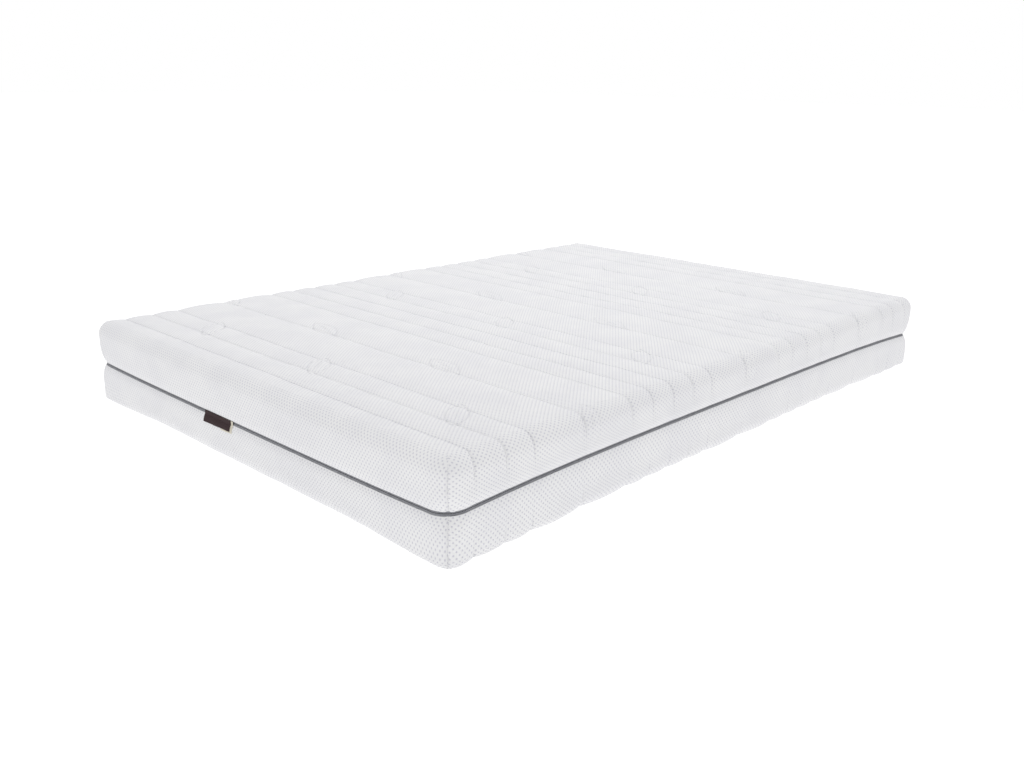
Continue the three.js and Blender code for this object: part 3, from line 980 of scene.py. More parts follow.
@dataclass(frozen=True)
class MattressForm:
    """The outer form of the mattress, which its cover, zip and labels share. All in metres."""

    length: float
    width: float
    height: float
    zip_height: float
    border: float = 30 * MM
    top_edge: float = 36 * MM
    bottom_edge: float = 24 * MM
    corner_radius: float = 40 * MM
    zip_corner_radius: float = 54 * MM
    shift_corner: float = 70 * MM
    pull_reach: float = 45 * MM
    rim_standoff: float = 5 * MM
    rim_pinch: float = 5.5 * MM
    pinch_reach: float = 24 * MM
    corner_ease: float = 70 * MM
    right_side_rise: float = 17 * MM
    foot_end_dip: float = 5 * MM
    head_right_drop: float = 7 * MM
    side_reach: float = 140 * MM
    straight_span: float = 680 * MM
    shift_below: tuple[float, float] = (60 * MM, 94 * MM)
    shift_above: tuple[float, float] = (114 * MM, 156 * MM)
    full_edge: float = 0.5
    slack_edge: float = 1.2
    slack_from: float = 0.45
    tuck_height: float = 10 * MM
    tuck_fade: float = 4 * MM

    @classmethod
    def from_frame(cls) -> "MattressForm":
        """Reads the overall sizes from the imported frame.

        Returns:
            The form of this mattress.
        """
        low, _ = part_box("cover_bottom_knit")
        _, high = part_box("cover_top_knit")
        slider_low, slider_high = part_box("zip_slider")
        return cls(high.x - low.x, high.y - low.y, high.z - low.z, (slider_low.z + slider_high.z) / 2.0)

    @property
    def field(self) -> tuple[float, float]:
        """Half the length and half the width of the panel's flat field."""
        return self.length / 2.0 - self.border, self.width / 2.0 - self.border

    def edge_radius(self, half: Half) -> float:
        """The radius of a half's long edge."""
        return self.top_edge if half is Half.UPPER else self.bottom_edge

    def face_height(self, half: Half) -> float:
        """The height of a half's flat face."""
        return self.height if half is Half.UPPER else 0.0

    def rim_height(self, half: Half) -> float:
        """The height of a half's rim, where the zip line is level."""
        return self.zip_height + half.value * self.rim_standoff

    def plan_radius(self, height: np.ndarray) -> np.ndarray:
        """Gives the corners' radius in plan, which grows towards the zip.

        Args:
            height: the heights asked for.

        Returns:
            One radius for each height.
        """
        away = np.abs(height - self.zip_height) - self.rim_standoff
        share = smooth(away / (self.pull_reach - self.rim_standoff))
        return self.zip_corner_radius + (self.corner_radius - self.zip_corner_radius) * share

    def zip_shift(self, x: np.ndarray, y: np.ndarray) -> np.ndarray:
        """Gives how far the zip line strays from level.

        Args:
            x: the places along the mattress.
            y: the places across it.

        Returns:
            The rise at each place.
        """
        half_length, half_width = self.length / 2.0, self.width / 2.0
        straight_x = half_length - self.shift_corner
        straight_y = half_width - self.shift_corner
        right_side = np.clip((self.side_reach - straight_y - y) / self.side_reach, 0.0, 1.0)
        foot_end = np.clip((self.side_reach - straight_x - x) / self.side_reach, 0.0, 1.0)
        along_side = np.clip(np.abs(x) / half_length, 0.0, 1.0)
        along_end = np.clip(np.abs(y) / self.straight_span, 0.0, 1.0)
        towards_head = (1.0 + x / half_length) / 2.0
        towards_right = np.clip((1.0 - y / self.straight_span) / 2.0, 0.0, 1.0)
        return (
            self.right_side_rise * right_side * (1.0 - along_side**4)
            - self.foot_end_dip * foot_end * (1.0 - along_end**4)
            - self.head_right_drop * towards_head * towards_right
        )

    def shifted(self, x: np.ndarray, y: np.ndarray, z: np.ndarray) -> np.ndarray:
        """Moves points up or down with the zip line, fully beside it and not at all far from it.

        Args:
            x: the places along the mattress.
            y: the places across it.
            z: their heights if the zip line were level.

        Returns:
            One row of x, y and z for each point.
        """
        below = (z - self.shift_below[0]) / (self.shift_below[1] - self.shift_below[0])
        above = (self.shift_above[1] - z) / (self.shift_above[1] - self.shift_above[0])
        weight = np.clip(np.minimum(below, above), 0.0, 1.0)
        return np.column_stack([x, y, z + self.zip_shift(x, y) * weight])

    def wall(self, half: Half, depth: float = 0.0, tuck: float = 0.0) -> Wall:
        """Lays out the way from the field's border to the rim, for the outside or a layer below it.

        Args:
            half: which half of the cover.
            depth: how far the layer lies below the outside.
            tuck: how far the layer stands out beside the rim, in front of the zip tape.

        Returns:
            The wall's profile.
        """
        up, edge = half.value, self.edge_radius(half)
        face, rim = self.face_height(half), self.rim_height(half)
        start = math.asin(min(max((edge - self.border) / (edge - depth), 0.0), 1.0))
        angle = np.linspace(start, math.pi / 2.0, 28)
        inset = edge - (edge - depth) * np.sin(angle)
        height = face - up * (edge - (edge - depth) * np.cos(angle))
        if self.border > edge:
            inset = np.concatenate([[self.border], inset])
            height = np.concatenate([[face - up * depth], height])
        edge_points = len(inset)
        wall_height = np.linspace(height[-1], rim, 60)[1:]
        rise = np.abs(wall_height - rim)
        pinch = self.rim_pinch * np.clip(1.0 - rise / self.pinch_reach, 0.0, 1.0) ** 2.5
        room = tuck * (1.0 - smooth((rise - self.tuck_height) / self.tuck_fade))
        wall_inset = pinch if depth == 0.0 else np.full(len(rise), depth) - room
        inset = np.concatenate([inset, wall_inset])
        height = np.concatenate([height, wall_height])
        walked = np.concatenate([[0.0], np.cumsum(np.hypot(np.diff(inset), np.diff(height)))])
        return Wall(walked, inset, height, float(walked[edge_points - 1]))

    def fold(self, half: Half, u: np.ndarray, v: np.ndarray, depth: float = 0.0, tuck: float = 0.0) -> Folded:
        """Folds a flat cross-shaped panel down on four sides and closes its corners.

        Args:
            half: which half of the cover.
            u: each point's place along the flat panel.
            v: its place across the panel.
            depth: how far the layer lies below the outside.
            tuck: how far the layer stands out beside the rim.

        Returns:
            The folded points.
        """
        up, edge = half.value, self.edge_radius(half)
        wall = self.wall(half, depth, tuck)
        field_x, field_y = self.field
        over_x = np.maximum(np.abs(u) - field_x, 0.0)
        over_y = np.maximum(np.abs(v) - field_y, 0.0)
        on_end = over_x > over_y
        over = np.maximum(over_x, over_y)
        flap = over > 1e-9
        down = over * wall.length / self.wall(half).length
        inset = np.interp(down, wall.walked, wall.inset)
        height = np.interp(down, wall.walked, wall.height)
        station = np.where(on_end, v, u)
        half_run = np.where(on_end, self.width, self.length) / 2.0
        half_cross = np.where(on_end, self.length, self.width) / 2.0
        upright = down > wall.edge_end
        rounding = np.clip((self.border - inset) / (self.border - depth), 0.0, 1.0)
        radius = np.where(upright, self.plan_radius(height) - inset, (self.corner_radius - depth) * rounding)
        radius = np.maximum(radius, 1e-6)
        straight = half_run - inset - radius
        reach = straight + radius * math.pi / 4.0
        field = half_run - self.border
        eased = field - self.corner_ease
        size = np.abs(station)
        stretched = eased + (size - eased) * (reach - eased) / self.corner_ease
        walked = np.where(size > eased, stretched, size)
        turn = np.clip((walked - straight) / radius, 0.0, math.pi / 4.0)
        run = np.minimum(walked, straight) + radius * np.sin(turn)
        cross = half_cross - inset - radius + radius * np.cos(turn)
        if depth == 0.0 and half is Half.LOWER:
            scale = self.full_edge + (self.slack_edge - self.full_edge) * smooth(
                (half_run - run - self.corner_radius) / (self.slack_from * half_run)
            )
            outwards = np.where(upright, 0.0, inset - self._reshape(inset, edge, self.border, scale))
            cross = cross + outwards
            run = run + outwards * (1.0 - smooth((reach - walked) / self.corner_ease))
            height = self._reshape(height, edge, self.zip_height / 2.0, scale)
        x = np.where(on_end, np.sign(u) * cross, np.sign(station) * run)
        y = np.where(on_end, np.sign(station) * run, np.sign(v) * cross)
        rho = np.hypot(
            np.maximum(0.0, edge - (self.length / 2.0 - np.abs(u))),
            np.maximum(0.0, edge - (self.width / 2.0 - np.abs(v))),
        )
        inner_edge = edge - depth
        dome = self.face_height(half) - up * (edge - np.sqrt(np.maximum(inner_edge**2 - rho**2, 0.0)))
        x = np.where(flap, x, u)
        y = np.where(flap, y, v)
        z = np.where(flap, height, dome)
        across = np.where(on_end, np.sign(u) * (field_x + over), np.sign(station) * walked)
        along = np.where(on_end, np.sign(station) * walked, np.sign(v) * (field_y + over))
        across = np.where(flap, across, u)
        along = np.where(flap, along, v)
        to_seam = np.where(flap, reach - walked, 1.0)
        return Folded(self.shifted(x, y, z), across, along, over, on_end & flap, to_seam)

    @staticmethod
    def _reshape(value: np.ndarray, edge: float, limit: float, scale: np.ndarray) -> np.ndarray:
        """Stretches the round edge's share of a distance, and squeezes what is left up to a limit.

        Args:
            value: distances from the sharp edge of the box.
            edge: where the round edge ends.
            limit: where nothing changes any more.
            scale: how much larger the round edge becomes.

        Returns:
            The new distances.
        """
        inner = value * scale
        outer = edge * scale + (value - edge) * (limit - edge * scale) / (limit - edge)
        return np.where(value <= edge, inner, np.where(value < limit, outer, value))

    def loop(self, inset: float, height: float, spacing: float, open_at: tuple[float, float]) -> np.ndarray:
        """Walks round the mattress at one inset and height, starting on the left side.

        Args:
            inset: the distance inside the widest outline.
            height: the height where the zip line is level.
            spacing: the rough distance between points on the straight stretches.
            open_at: the two places along the left side where the walk starts and ends.

        Returns:
            One row of x, y and z for each point.
        """
        radius = float(self.plan_radius(np.array([height]))[0]) - inset
        half_x, half_y = self.length / 2.0 - inset, self.width / 2.0 - inset
        start, stop = open_at
        ends = [np.array([[start, half_y]])]
        for side_x, side_y, first in ((-1, 1, 90.0), (-1, -1, 180.0), (1, -1, 270.0), (1, 1, 0.0)):
            angle = np.radians(np.linspace(first, first + 90.0, 15))
            corner_x = side_x * (half_x - radius) + radius * np.cos(angle)
            corner_y = side_y * (half_y - radius) + radius * np.sin(angle)
            ends.append(np.column_stack([corner_x, corner_y]))
        ends.append(np.array([[stop, half_y]]))
        runs = (start + self.length / 2.0, self.width, self.length, self.width, self.length / 2.0 - stop)
        parts = []
        for before, after, run in zip(ends, ends[1:], runs):
            steps = max(round(run / spacing), 2)
            shares = np.arange(1, steps)[:, None] / steps
            parts += [before, before[-1] + (after[0] - before[-1]) * shares]
        plan = np.concatenate([*parts, ends[-1]])
        return self.shifted(plan[:, 0], plan[:, 1], np.full(len(plan), height))


# ---- Quilting.


@dataclass(frozen=True)
class Leaf:
    """One stitched leaf of the quilting pattern, by its middle on the flat panel and its lean."""

    u: float
    v: float
    lean_deg: float
    half_length: float = 66 * MM
    half_width: float = 25 * MM
    vein_share: float = 0.42

    def local(self, u: np.ndarray, v: np.ndarray) -> tuple[np.ndarray, np.ndarray]:
        """Turns places on the panel into places along and across the leaf.

        Args:
            u: the places along the panel.
            v: the places across it.

        Returns:
            The distances along the leaf and across it, from its middle.
        """
        lean = math.radians(self.lean_deg)
        du, dv = u - self.u, v - self.v
        return du * math.cos(lean) + dv * math.sin(lean), dv * math.cos(lean) - du * math.sin(lean)

    def bow(self, along: np.ndarray) -> np.ndarray:
        """Half the leaf's width at a distance along it."""
        return self.half_width * (1.0 - np.clip(np.abs(along) / self.half_length, 0.0, 1.0) ** 2)

    def distance(self, u: np.ndarray, v: np.ndarray) -> np.ndarray:
        """Gives the distance to the leaf's stitching: its outline and the short vein in its middle.

        Args:
            u: the places along the panel.
            v: the places across it.

        Returns:
            One distance for each place.
        """
        along, across = self.local(u, v)
        beyond = np.maximum(np.abs(along) - self.half_length, 0.0)
        outline = np.hypot(np.abs(np.abs(across) - self.bow(along)), beyond)
        vein = np.hypot(across, np.maximum(np.abs(along) - self.vein_share * self.half_length, 0.0))
        return np.minimum(outline, vein)

    def fill(self, u: np.ndarray, v: np.ndarray) -> np.ndarray:
        """Gives how full the leaf's padding is: 1 in its middle, 0 at its outline and outside it.

        Args:
            u: the places along the panel.
            v: the places across it.

        Returns:
            One share for each place.
        """
        along, across = self.local(u, v)
        width = np.maximum(self.bow(along), 1e-6)
        inside = np.clip(1.0 - (across / width) ** 2, 0.0, 1.0)
        return inside * (width / self.half_width)

    def strokes(self) -> list[np.ndarray]:
        """Lists the leaf's stitched lines.

        Returns:
            For each line, rows of its places on the flat panel.
        """
        lean = math.radians(self.lean_deg)
        run = np.linspace(-1.0, 1.0, 33) * self.half_length
        vein = run * self.vein_share
        lines = []
        for along, across in ((run, self.bow(run)), (run, -self.bow(run)), (vein, np.zeros(len(vein)))):
            u = self.u + along * math.cos(lean) - across * math.sin(lean)
            v = self.v + along * math.sin(lean) + across * math.cos(lean)
            lines.append(np.column_stack([u, v]))
        return lines


@dataclass(frozen=True)
class QuiltPlan:
    """Where a half's panel is stitched through, and how far the padding stands up between the lines.

    leaf_rows has, for each row of leaves, its place in pitches, the distance of its first leaf from the
    right side, and the lean in degrees.
    """

    form: MattressForm
    half: Half
    pitches: int = 26
    repeat: int = 8
    left_out: tuple[int, ...] = (4, 6)
    groove: float = 3.0 * MM
    narrow_crown: float = 4.0 * MM
    wide_crown: float = 5.4 * MM
    end_crown: float = 4.2 * MM
    end_rise: float = 40 * MM
    crease: float = 2.3 * MM
    crease_width: float = 2.4 * MM
    leaf_groove: float = 1.7 * MM
    leaf_puff: float = 1.9 * MM
    leaf_spacing: float = 467 * MM
    leaf_rows: tuple[tuple[float, float, float], ...] = ((2.5, 180 * MM, 40.0), (5.2, -22 * MM, 78.0))
    seam_groove: float = 2.8 * MM
    side_fullness: float = 0.13

    @property
    def pitch(self) -> float:
        """The distance between neighbouring quilt lines."""
        return self.form.length / self.pitches

    def lines(self) -> np.ndarray:
        """Lists the quilt lines, each a place along the mattress.

        Returns:
            The lines from the foot end to the head end.
        """
        kept = [k for k in range(1, self.pitches) if k % self.repeat not in self.left_out]
        return -self.form.length / 2.0 + self.pitch * np.array(kept)

    def leaves(self) -> list[Leaf]:
        """Lists the leaves, in rows that are staggered across the panel. Only the upper half has them.

        Returns:
            The leaves that lie on the panel or reach on to its long flaps.
        """
        if self.half is Half.LOWER:
            return []
        side = -self.form.width / 2.0
        found = []
        for repeat in range(math.ceil(self.pitches / self.repeat)):
            for place, first, lean in self.leaf_rows:
                u = -self.form.length / 2.0 + (place + self.repeat * repeat) * self.pitch
                if u > self.form.field[0] - 60 * MM:
                    continue
                for step in range(4):
                    v = side + first + self.leaf_spacing * step
                    if abs(v) < self.form.width / 2.0 + 30 * MM:
                        found.append(Leaf(u, v, lean))
        return found

    def nearest(self, u: np.ndarray) -> np.ndarray:
        """Gives the distance to the nearest quilt line.

        Args:
            u: places along the panel.

        Returns:
            One distance for each place.
        """
        lines = self.lines()
        index = np.clip(np.searchsorted(lines, u), 1, len(lines) - 1)
        return np.minimum(np.abs(u - lines[index - 1]), np.abs(u - lines[index]))

    def crown(self, u: np.ndarray) -> np.ndarray:
        """Gives how far the padding stands up above the quilt lines.

        Args:
            u: places along the panel.

        Returns:
            One height for each place.
        """
        lines = self.lines()
        index = np.searchsorted(lines, u)
        between = (index > 0) & (index < len(lines))
        below = lines[np.clip(index - 1, 0, len(lines) - 1)]
        above = lines[np.clip(index, 0, len(lines) - 1)]
        width = np.where(between, above - below, 1.0)
        off_middle = np.abs(2.0 * (u - below) / width - 1.0)
        full = np.where(width > 1.5 * self.pitch, self.wide_crown, self.narrow_crown)
        channel = full * np.clip(1.0 - off_middle**2.3, 0.0, 1.0) ** 0.85
        margin = np.clip(self.nearest(u) / self.end_rise, 0.0, 1.0)
        end = self.end_crown * (1.0 - (1.0 - margin) ** 2.3) ** 0.85
        return np.where(between, channel, end)

    def relief(self, u: np.ndarray, v: np.ndarray, folded: Folded) -> np.ndarray:
        """Gives how far each point of the panel stands out from the plain form.

        Args:
            u: each point's place along the flat panel.
            v: its place across the panel.
            folded: the same points after folding.

        Returns:
            One distance for each point, outwards.
        """
        wall = self.form.wall(self.half)
        down = np.clip(folded.over / wall.length, 0.0, 1.0)
        fade = 1.0 - smooth(down)
        rounded = 0.6 * wall.edge_end
        side_fade = 1.0 - smooth((folded.over - rounded) / (wall.length - rounded))
        side_quilted = self.side_fullness + (1.0 - self.side_fullness) * side_fade
        quilted = np.where(folded.on_end, fade, side_quilted)
        crown = self.crown(np.clip(u, -self.form.field[0], self.form.field[0]))
        away = self.nearest(u)
        side = folded.over / wall.edge_end
        upright_fade = smooth((folded.over - wall.edge_end) / (0.8 * (wall.length - wall.edge_end)))
        crease_share = np.where(folded.on_end, 0.0, 0.3 + np.exp(-((side - 0.75) / 0.5) ** 2))
        crease_share = crease_share * (1.0 - 0.85 * upright_fade)
        crease = self.crease * np.exp(-((away / self.crease_width) ** 2)) * crease_share
        total = -self.groove * fade + crown * quilted - crease
        total += self._leaf_relief(u, v) * quilted
        total += self._unevenness(folded, away) * (0.25 + 0.75 * fade)
        dip = np.exp(-((folded.to_seam / (2.4 * MM)) ** 2))
        swell = np.exp(-(((folded.to_seam - 9 * MM) / (5 * MM)) ** 2))
        below_edge = smooth((folded.over - 0.35 * wall.edge_end) / (0.6 * wall.edge_end))
        total -= self.seam_groove * (dip - 0.35 * swell) * below_edge
        return total

    def _leaf_relief(self, u: np.ndarray, v: np.ndarray) -> np.ndarray:
        """Gives the leaves' share of the relief: grooves along their stitching, and puffs inside.

        Args:
            u: each point's place along the flat panel.
            v: its place across the panel.

        Returns:
            One distance for each point, outwards.
        """
        total = np.zeros(len(u))
        for leaf in self.leaves():
            near = (np.abs(u - leaf.u) < 100 * MM) & (np.abs(v - leaf.v) < 100 * MM)
            groove = np.exp(-((leaf.distance(u[near], v[near]) / (2.8 * MM)) ** 2))
            total[near] += self.leaf_puff * leaf.fill(u[near], v[near]) - self.leaf_groove * groove
        return total

    def _unevenness(self, folded: Folded, away: np.ndarray) -> np.ndarray:
        """Gives the slight unevenness of hand and filling, and puckers beside the stitching.

        Args:
            folded: the folded points.
            away: each point's distance to the nearest quilt line.

        Returns:
            One distance for each point, outwards.
        """
        broad = SoftNoise(11, 0.16, 0.5).at(folded.across, folded.along)
        small = SoftNoise(23, 0.05, 0.11).at(folded.across, folded.along)
        pucker = SoftNoise(37, 0.022, 0.04).at(0.35 * folded.across, folded.along)
        beside = np.exp(-((away / (14 * MM)) ** 2))
        return 0.55 * MM * broad + 0.28 * MM * small + 0.3 * MM * pucker * beside


class Stitches:
    """A seam's stitches: one is modelled, and the others are copies laid end to end along the seam."""

    def __init__(
        self, length: float = 4.4 * MM, pitch: float = 6.0 * MM, thickness: float = 0.8 * MM
    ) -> None:
        """Models one stitch.

        Args:
            length: how much of a stitch shows.
            pitch: the distance from one stitch to the next.
            thickness: the thread's thickness.
        """
        self.pitch = pitch
        bpy.ops.object.select_all(action="DESELECT")
        bpy.ops.mesh.primitive_uv_sphere_add(segments=4, ring_count=4, radius=0.5, location=(0.0, 0.0, 0.0))
        stitch = bpy.context.object
        with editing(stitch, Pick.POINTS):
            bpy.ops.mesh.select_all(action="SELECT")
            bpy.ops.transform.resize(value=(thickness, 0.75 * thickness, length))
        places = points_of(stitch)
        bent = places.copy()
        bent[:, 0] = places[:, 2]
        bent[:, 1] = places[:, 0]
        bent[:, 2] = places[:, 1] - 0.6 * thickness * (2.0 * places[:, 2] / length) ** 2
        self._points = bent
        self._faces = [tuple(face.vertices) for face in stitch.data.polygons]
        bpy.data.objects.remove(stitch)

    def row(self, line: np.ndarray, facing: np.ndarray) -> tuple[np.ndarray, np.ndarray, np.ndarray]:
        """Finds where the stitches of one line go.

        Args:
            line: rows of places along the line.
            facing: the way that the cloth faces at each place.

        Returns:
            Each stitch's middle, its direction, and the way that it faces.
        """
        steps = np.linalg.norm(np.diff(line, axis=0), axis=1)
        walked = np.concatenate([[0.0], np.cumsum(steps)])
        middles = np.arange(0.5 * self.pitch, walked[-1], self.pitch)

        def at(values: np.ndarray, distance: np.ndarray) -> np.ndarray:
            """Reads values that belong to the line at distances along it."""
            return np.column_stack([np.interp(distance, walked, values[:, axis]) for axis in range(3)])

        reach = 0.3 * self.pitch
        return at(line, middles), at(line, middles + reach) - at(line, middles - reach), at(facing, middles)

    def build(self, name: str, rows: Sequence[tuple[np.ndarray, np.ndarray, np.ndarray]]) -> bpy.types.Object:
        """Builds all the stitches of a seam as one piece. Its faces look outwards, as the first stitch's do.

        Args:
            name: the piece's name.
            rows: what row gave for each line.

        Returns:
            The stitching.
        """
        middle = np.concatenate([row[0] for row in rows])
        forward = np.concatenate([row[1] for row in rows])
        facing = np.concatenate([row[2] for row in rows])
        forward /= np.linalg.norm(forward, axis=1)[:, None]
        sideways = np.cross(facing, forward)
        sideways /= np.linalg.norm(sideways, axis=1)[:, None]
        upright = np.cross(forward, sideways)
        places = (
            middle[:, None, :]
            + forward[:, None, :] * self._points[None, :, 0:1]
            + sideways[:, None, :] * self._points[None, :, 1:2]
            + upright[:, None, :] * self._points[None, :, 2:3]
        ).reshape(-1, 3)
        count = len(self._points)
        faces = [
            tuple(corner + count * copy for corner in face)
            for copy in range(len(middle))
            for face in self._faces
        ]
        mesh = bpy.data.meshes.new(name)
        mesh.from_pydata(places.tolist(), [], faces)
        piece = bpy.data.objects.new(name, mesh)
        bpy.context.scene.collection.objects.link(piece)
        shade(piece, 80.0)
        return piece


@dataclass
class CoverHalf:
    """One half of the cover: the quilted panel, its lining, the quilting thread and the corner seams."""

    form: MattressForm
    half: Half
    finishes: Finishes
    panel_depth: float = 8.3 * MM
    lining_depth: float = 8.6 * MM
    lining_thickness: float = 0.9 * MM
    tuck: float = 1.2 * MM
    narrow_steps: int = 12
    wide_steps: int = 20
    flap_steps: int = 17
    row_step: float = 7.0 * MM
    coarse_step: float = 40 * MM
    seam_zone: float = 30 * MM
    leaf_margin: float = 9 * MM
    bed_clearance: float = 0.4 * MM
    pieces: list[bpy.types.Object] = field(default_factory=list)

    def __post_init__(self) -> None:
        """Lays out the quilting."""
        self.plan = QuiltPlan(self.form, self.half)
        self.wall = self.form.wall(self.half)

    @staticmethod
    def _spread(start: float, stop: float, count: int) -> np.ndarray:
        """Spreads places between two lines, closer together near the lines.

        Args:
            start: the first line.
            stop: the second line.
            count: how many steps lie between them.

        Returns:
            The places from the first line up to, and without, the second.
        """
        share = np.arange(count) / count
        near = 0.5 - 0.5 * np.cos(math.pi * share)
        return start + (stop - start) * (0.3 * share + 0.7 * near)

    def _flap(self) -> np.ndarray:
        """Distances past the field's border at which the flaps have rows."""
        share = np.arange(1, self.flap_steps + 1) / self.flap_steps
        return self.wall.length * (0.8 * share + 0.2 * np.sin(share * math.pi / 2.0))

    def _columns(self) -> np.ndarray:
        """Places along the panel, closer together beside the quilt lines and the corner seams.

        Returns:
            The places from one end flap's rim to the other's.
        """
        field_x = self.form.field[0]
        lines = [-field_x, *self.plan.lines(), field_x]
        parts = []
        for start, stop in zip(lines, lines[1:]):
            wide = stop - start > 1.5 * self.plan.pitch
            parts.append(self._spread(start, stop, self.wide_steps if wide else self.narrow_steps))
        flap = self._flap()
        return np.concatenate([-field_x - flap[::-1], *parts, [field_x], field_x + flap])

    @staticmethod
    def _lines(border: float, flap: np.ndarray, step: float, seam_zone: float) -> np.ndarray:
        """Places across a panel, evenly spaced but for the last stretches before the corner seams.

        Args:
            border: half the width of the panel's flat field.
            flap: the rows of each flap, as distances past the border.
            step: the spacing of the even part.
            seam_zone: the length of the last stretches, where the spacing shrinks.

        Returns:
            The places from one flap's rim to the other's.
        """
        inner = border - seam_zone
        even = np.linspace(-inner, inner, round(2.0 * inner / step))
        near = border - seam_zone * (1.0 - np.sin(np.linspace(0.0, math.pi / 2.0, 8)[1:]))
        return np.concatenate([-border - flap[::-1], -near[::-1], even, near, border + flap])

    def _coarse(self, border: float) -> np.ndarray:
        """Places across one of the plain inner layers."""
        return self._lines(border, self._flap()[::2], self.coarse_step, 2.0 * self.seam_zone)

    def _cut(self, name: str, columns: np.ndarray, rows: np.ndarray) -> bpy.types.Object:
        """Cuts a flat panel in the shape of a cross: the field with a flap on each side.

        Args:
            name: the panel's name.
            columns: the places of its points along the panel.
            rows: their places across it.

        Returns:
            The flat panel.
        """
        panel = flat_grid(name, columns, rows)
        middle = np.abs(face_centres(panel))
        choose_faces(panel, (middle[:, 0] > self.form.field[0]) & (middle[:, 1] > self.form.field[1]))
        with editing(panel, Pick.FACES):
            bpy.ops.mesh.delete(type="FACE")
        return panel

    def _refine(self, panel: bpy.types.Object) -> None:
        """Divides the faces near the leaves, so that their fine stitching has enough points.

        Args:
            panel: the flat panel.
        """
        middle = face_centres(panel)
        near = np.zeros(len(middle), bool)
        for leaf in self.plan.leaves():
            along, across = leaf.local(middle[:, 0], middle[:, 1])
            beside = np.abs(across) < leaf.half_width + self.leaf_margin
            near |= (np.abs(along) < leaf.half_length + self.leaf_margin) & beside
        near &= np.abs(middle[:, 1]) < self.form.field[1] + 0.8 * self.wall.length
        if near.any():
            choose_faces(panel, near)
            with editing(panel, Pick.FACES):
                bpy.ops.mesh.subdivide(number_cuts=2)

    def _sew(self, panel: bpy.types.Object, depth: float, tuck: float, quilted: bool) -> None:
        """Folds a flat panel, sews its corners and, on the outside, raises the quilting.

        Args:
            panel: the flat panel.
            depth: how far the layer lies below the outside.
            tuck: how far the layer stands out beside the rim.
            quilted: whether the layer shows the quilting.
        """
        flat = points_of(panel)
        folded = self.form.fold(self.half, flat[:, 0], flat[:, 1], depth, tuck)
        write_uv(panel, folded.across, folded.along)
        move_points(panel, folded.places)
        if quilted:
            relief = panel.data.attributes.new("relief", "FLOAT", "POINT")
            raised = self.plan.relief(flat[:, 0], flat[:, 1], folded)
            relief.data.foreach_set("value", raised.astype(np.float32))
        weld(panel, 0.2 * MM)
        with editing(panel, Pick.FACES):
            bpy.ops.mesh.select_all(action="SELECT")
            bpy.ops.mesh.normals_make_consistent(inside=depth > 0.0)
        if quilted:
            self._raise(panel)

    def _raise(self, panel: bpy.types.Object) -> None:
        """Moves each point of the outside out by its relief. The underside is flattened by the bed base.

        Args:
            panel: the folded panel.
        """
        relief = np.empty(len(panel.data.vertices), np.float32)
        panel.data.attributes["relief"].data.foreach_get("value", relief)
        places = points_of(panel)
        facing = normals_of(panel)
        outwards = np.sign(np.sum(facing * (places - places.mean(axis=0)), axis=1).mean())
        raised = places + outwards * facing * relief[:, None]
        raised[:, 2] = np.maximum(raised[:, 2], self.bed_clearance)
        move_points(panel, raised)
        panel.data.attributes.remove(panel.data.attributes["relief"])

    def build_panel(self) -> bpy.types.Object:
        """Builds the quilted panel: knit outside, padding inside, closed at its rim.

        Returns:
            The panel.
        """
        name = f"cover_{self.half.label}_quilted_panel"
        rows = self._lines(self.form.field[1], self._flap(), self.row_step, self.seam_zone)
        columns = self._columns()
        panel = self._cut(name, columns, rows)
        self._refine(panel)
        self._sew(panel, 0.0, 0.0, True)
        mesh = panel.data
        self.surface = BVHTree.FromPolygons(
            [vertex.co.copy() for vertex in mesh.vertices], [tuple(face.vertices) for face in mesh.polygons]
        )
        self.seam_line = self._corner_lines()
        back = self._cut(f"{name}_back", columns, rows)
        self._sew(back, self.panel_depth, self.tuck, False)
        close_shell(panel, back)
        shade(panel)
        return panel

    def _corner_lines(self) -> list[tuple[np.ndarray, np.ndarray]]:
        """Finds the four corner seams on the outside.

        Returns:
            For each seam, its places from the edge to the rim and the way that the cloth faces there.
        """
        found = []
        over = np.linspace(0.45 * self.wall.edge_end, self.wall.length, 40)
        field_x, field_y = self.form.field
        for side_x, side_y in ((1, 1), (-1, 1), (-1, -1), (1, -1)):
            u = np.full(len(over), side_x * field_x)
            found.append(self._on_surface(u, side_y * (field_y + over)))
        return found

    def _on_surface(self, u: np.ndarray, v: np.ndarray) -> tuple[np.ndarray, np.ndarray]:
        """Finds places of the flat panel on the finished outside.

        Args:
            u: the places along the panel.
            v: the places across it.

        Returns:
            The places on the surface, and the way that it faces at each.
        """
        folded = self.form.fold(self.half, u, v)
        hits = [self.surface.find_nearest(Vector(place)) for place in folded.places]
        places = np.array([hit[0] for hit in hits])
        facing = np.array([hit[1] for hit in hits])
        centre = np.array([0.0, 0.0, self.form.height / 2.0])
        inward = np.sum(facing * (places - centre), axis=1) < 0.0
        facing[inward] *= -1.0
        return places, facing

    def build_lining(self) -> bpy.types.Object:
        """Builds the lining behind the padding.

        Returns:
            The lining, a thin closed sheet.
        """
        name = f"cover_{self.half.label}_lining_sheet"
        columns, rows = self._coarse(self.form.field[0]), self._coarse(self.form.field[1])
        lining = self._cut(name, columns, rows)
        self._sew(lining, self.lining_depth, 0.0, False)
        back = self._cut(f"{name}_back", columns, rows)
        self._sew(back, self.lining_depth + self.lining_thickness, 0.0, False)
        close_shell(lining, back)
        shade(lining)
        return lining

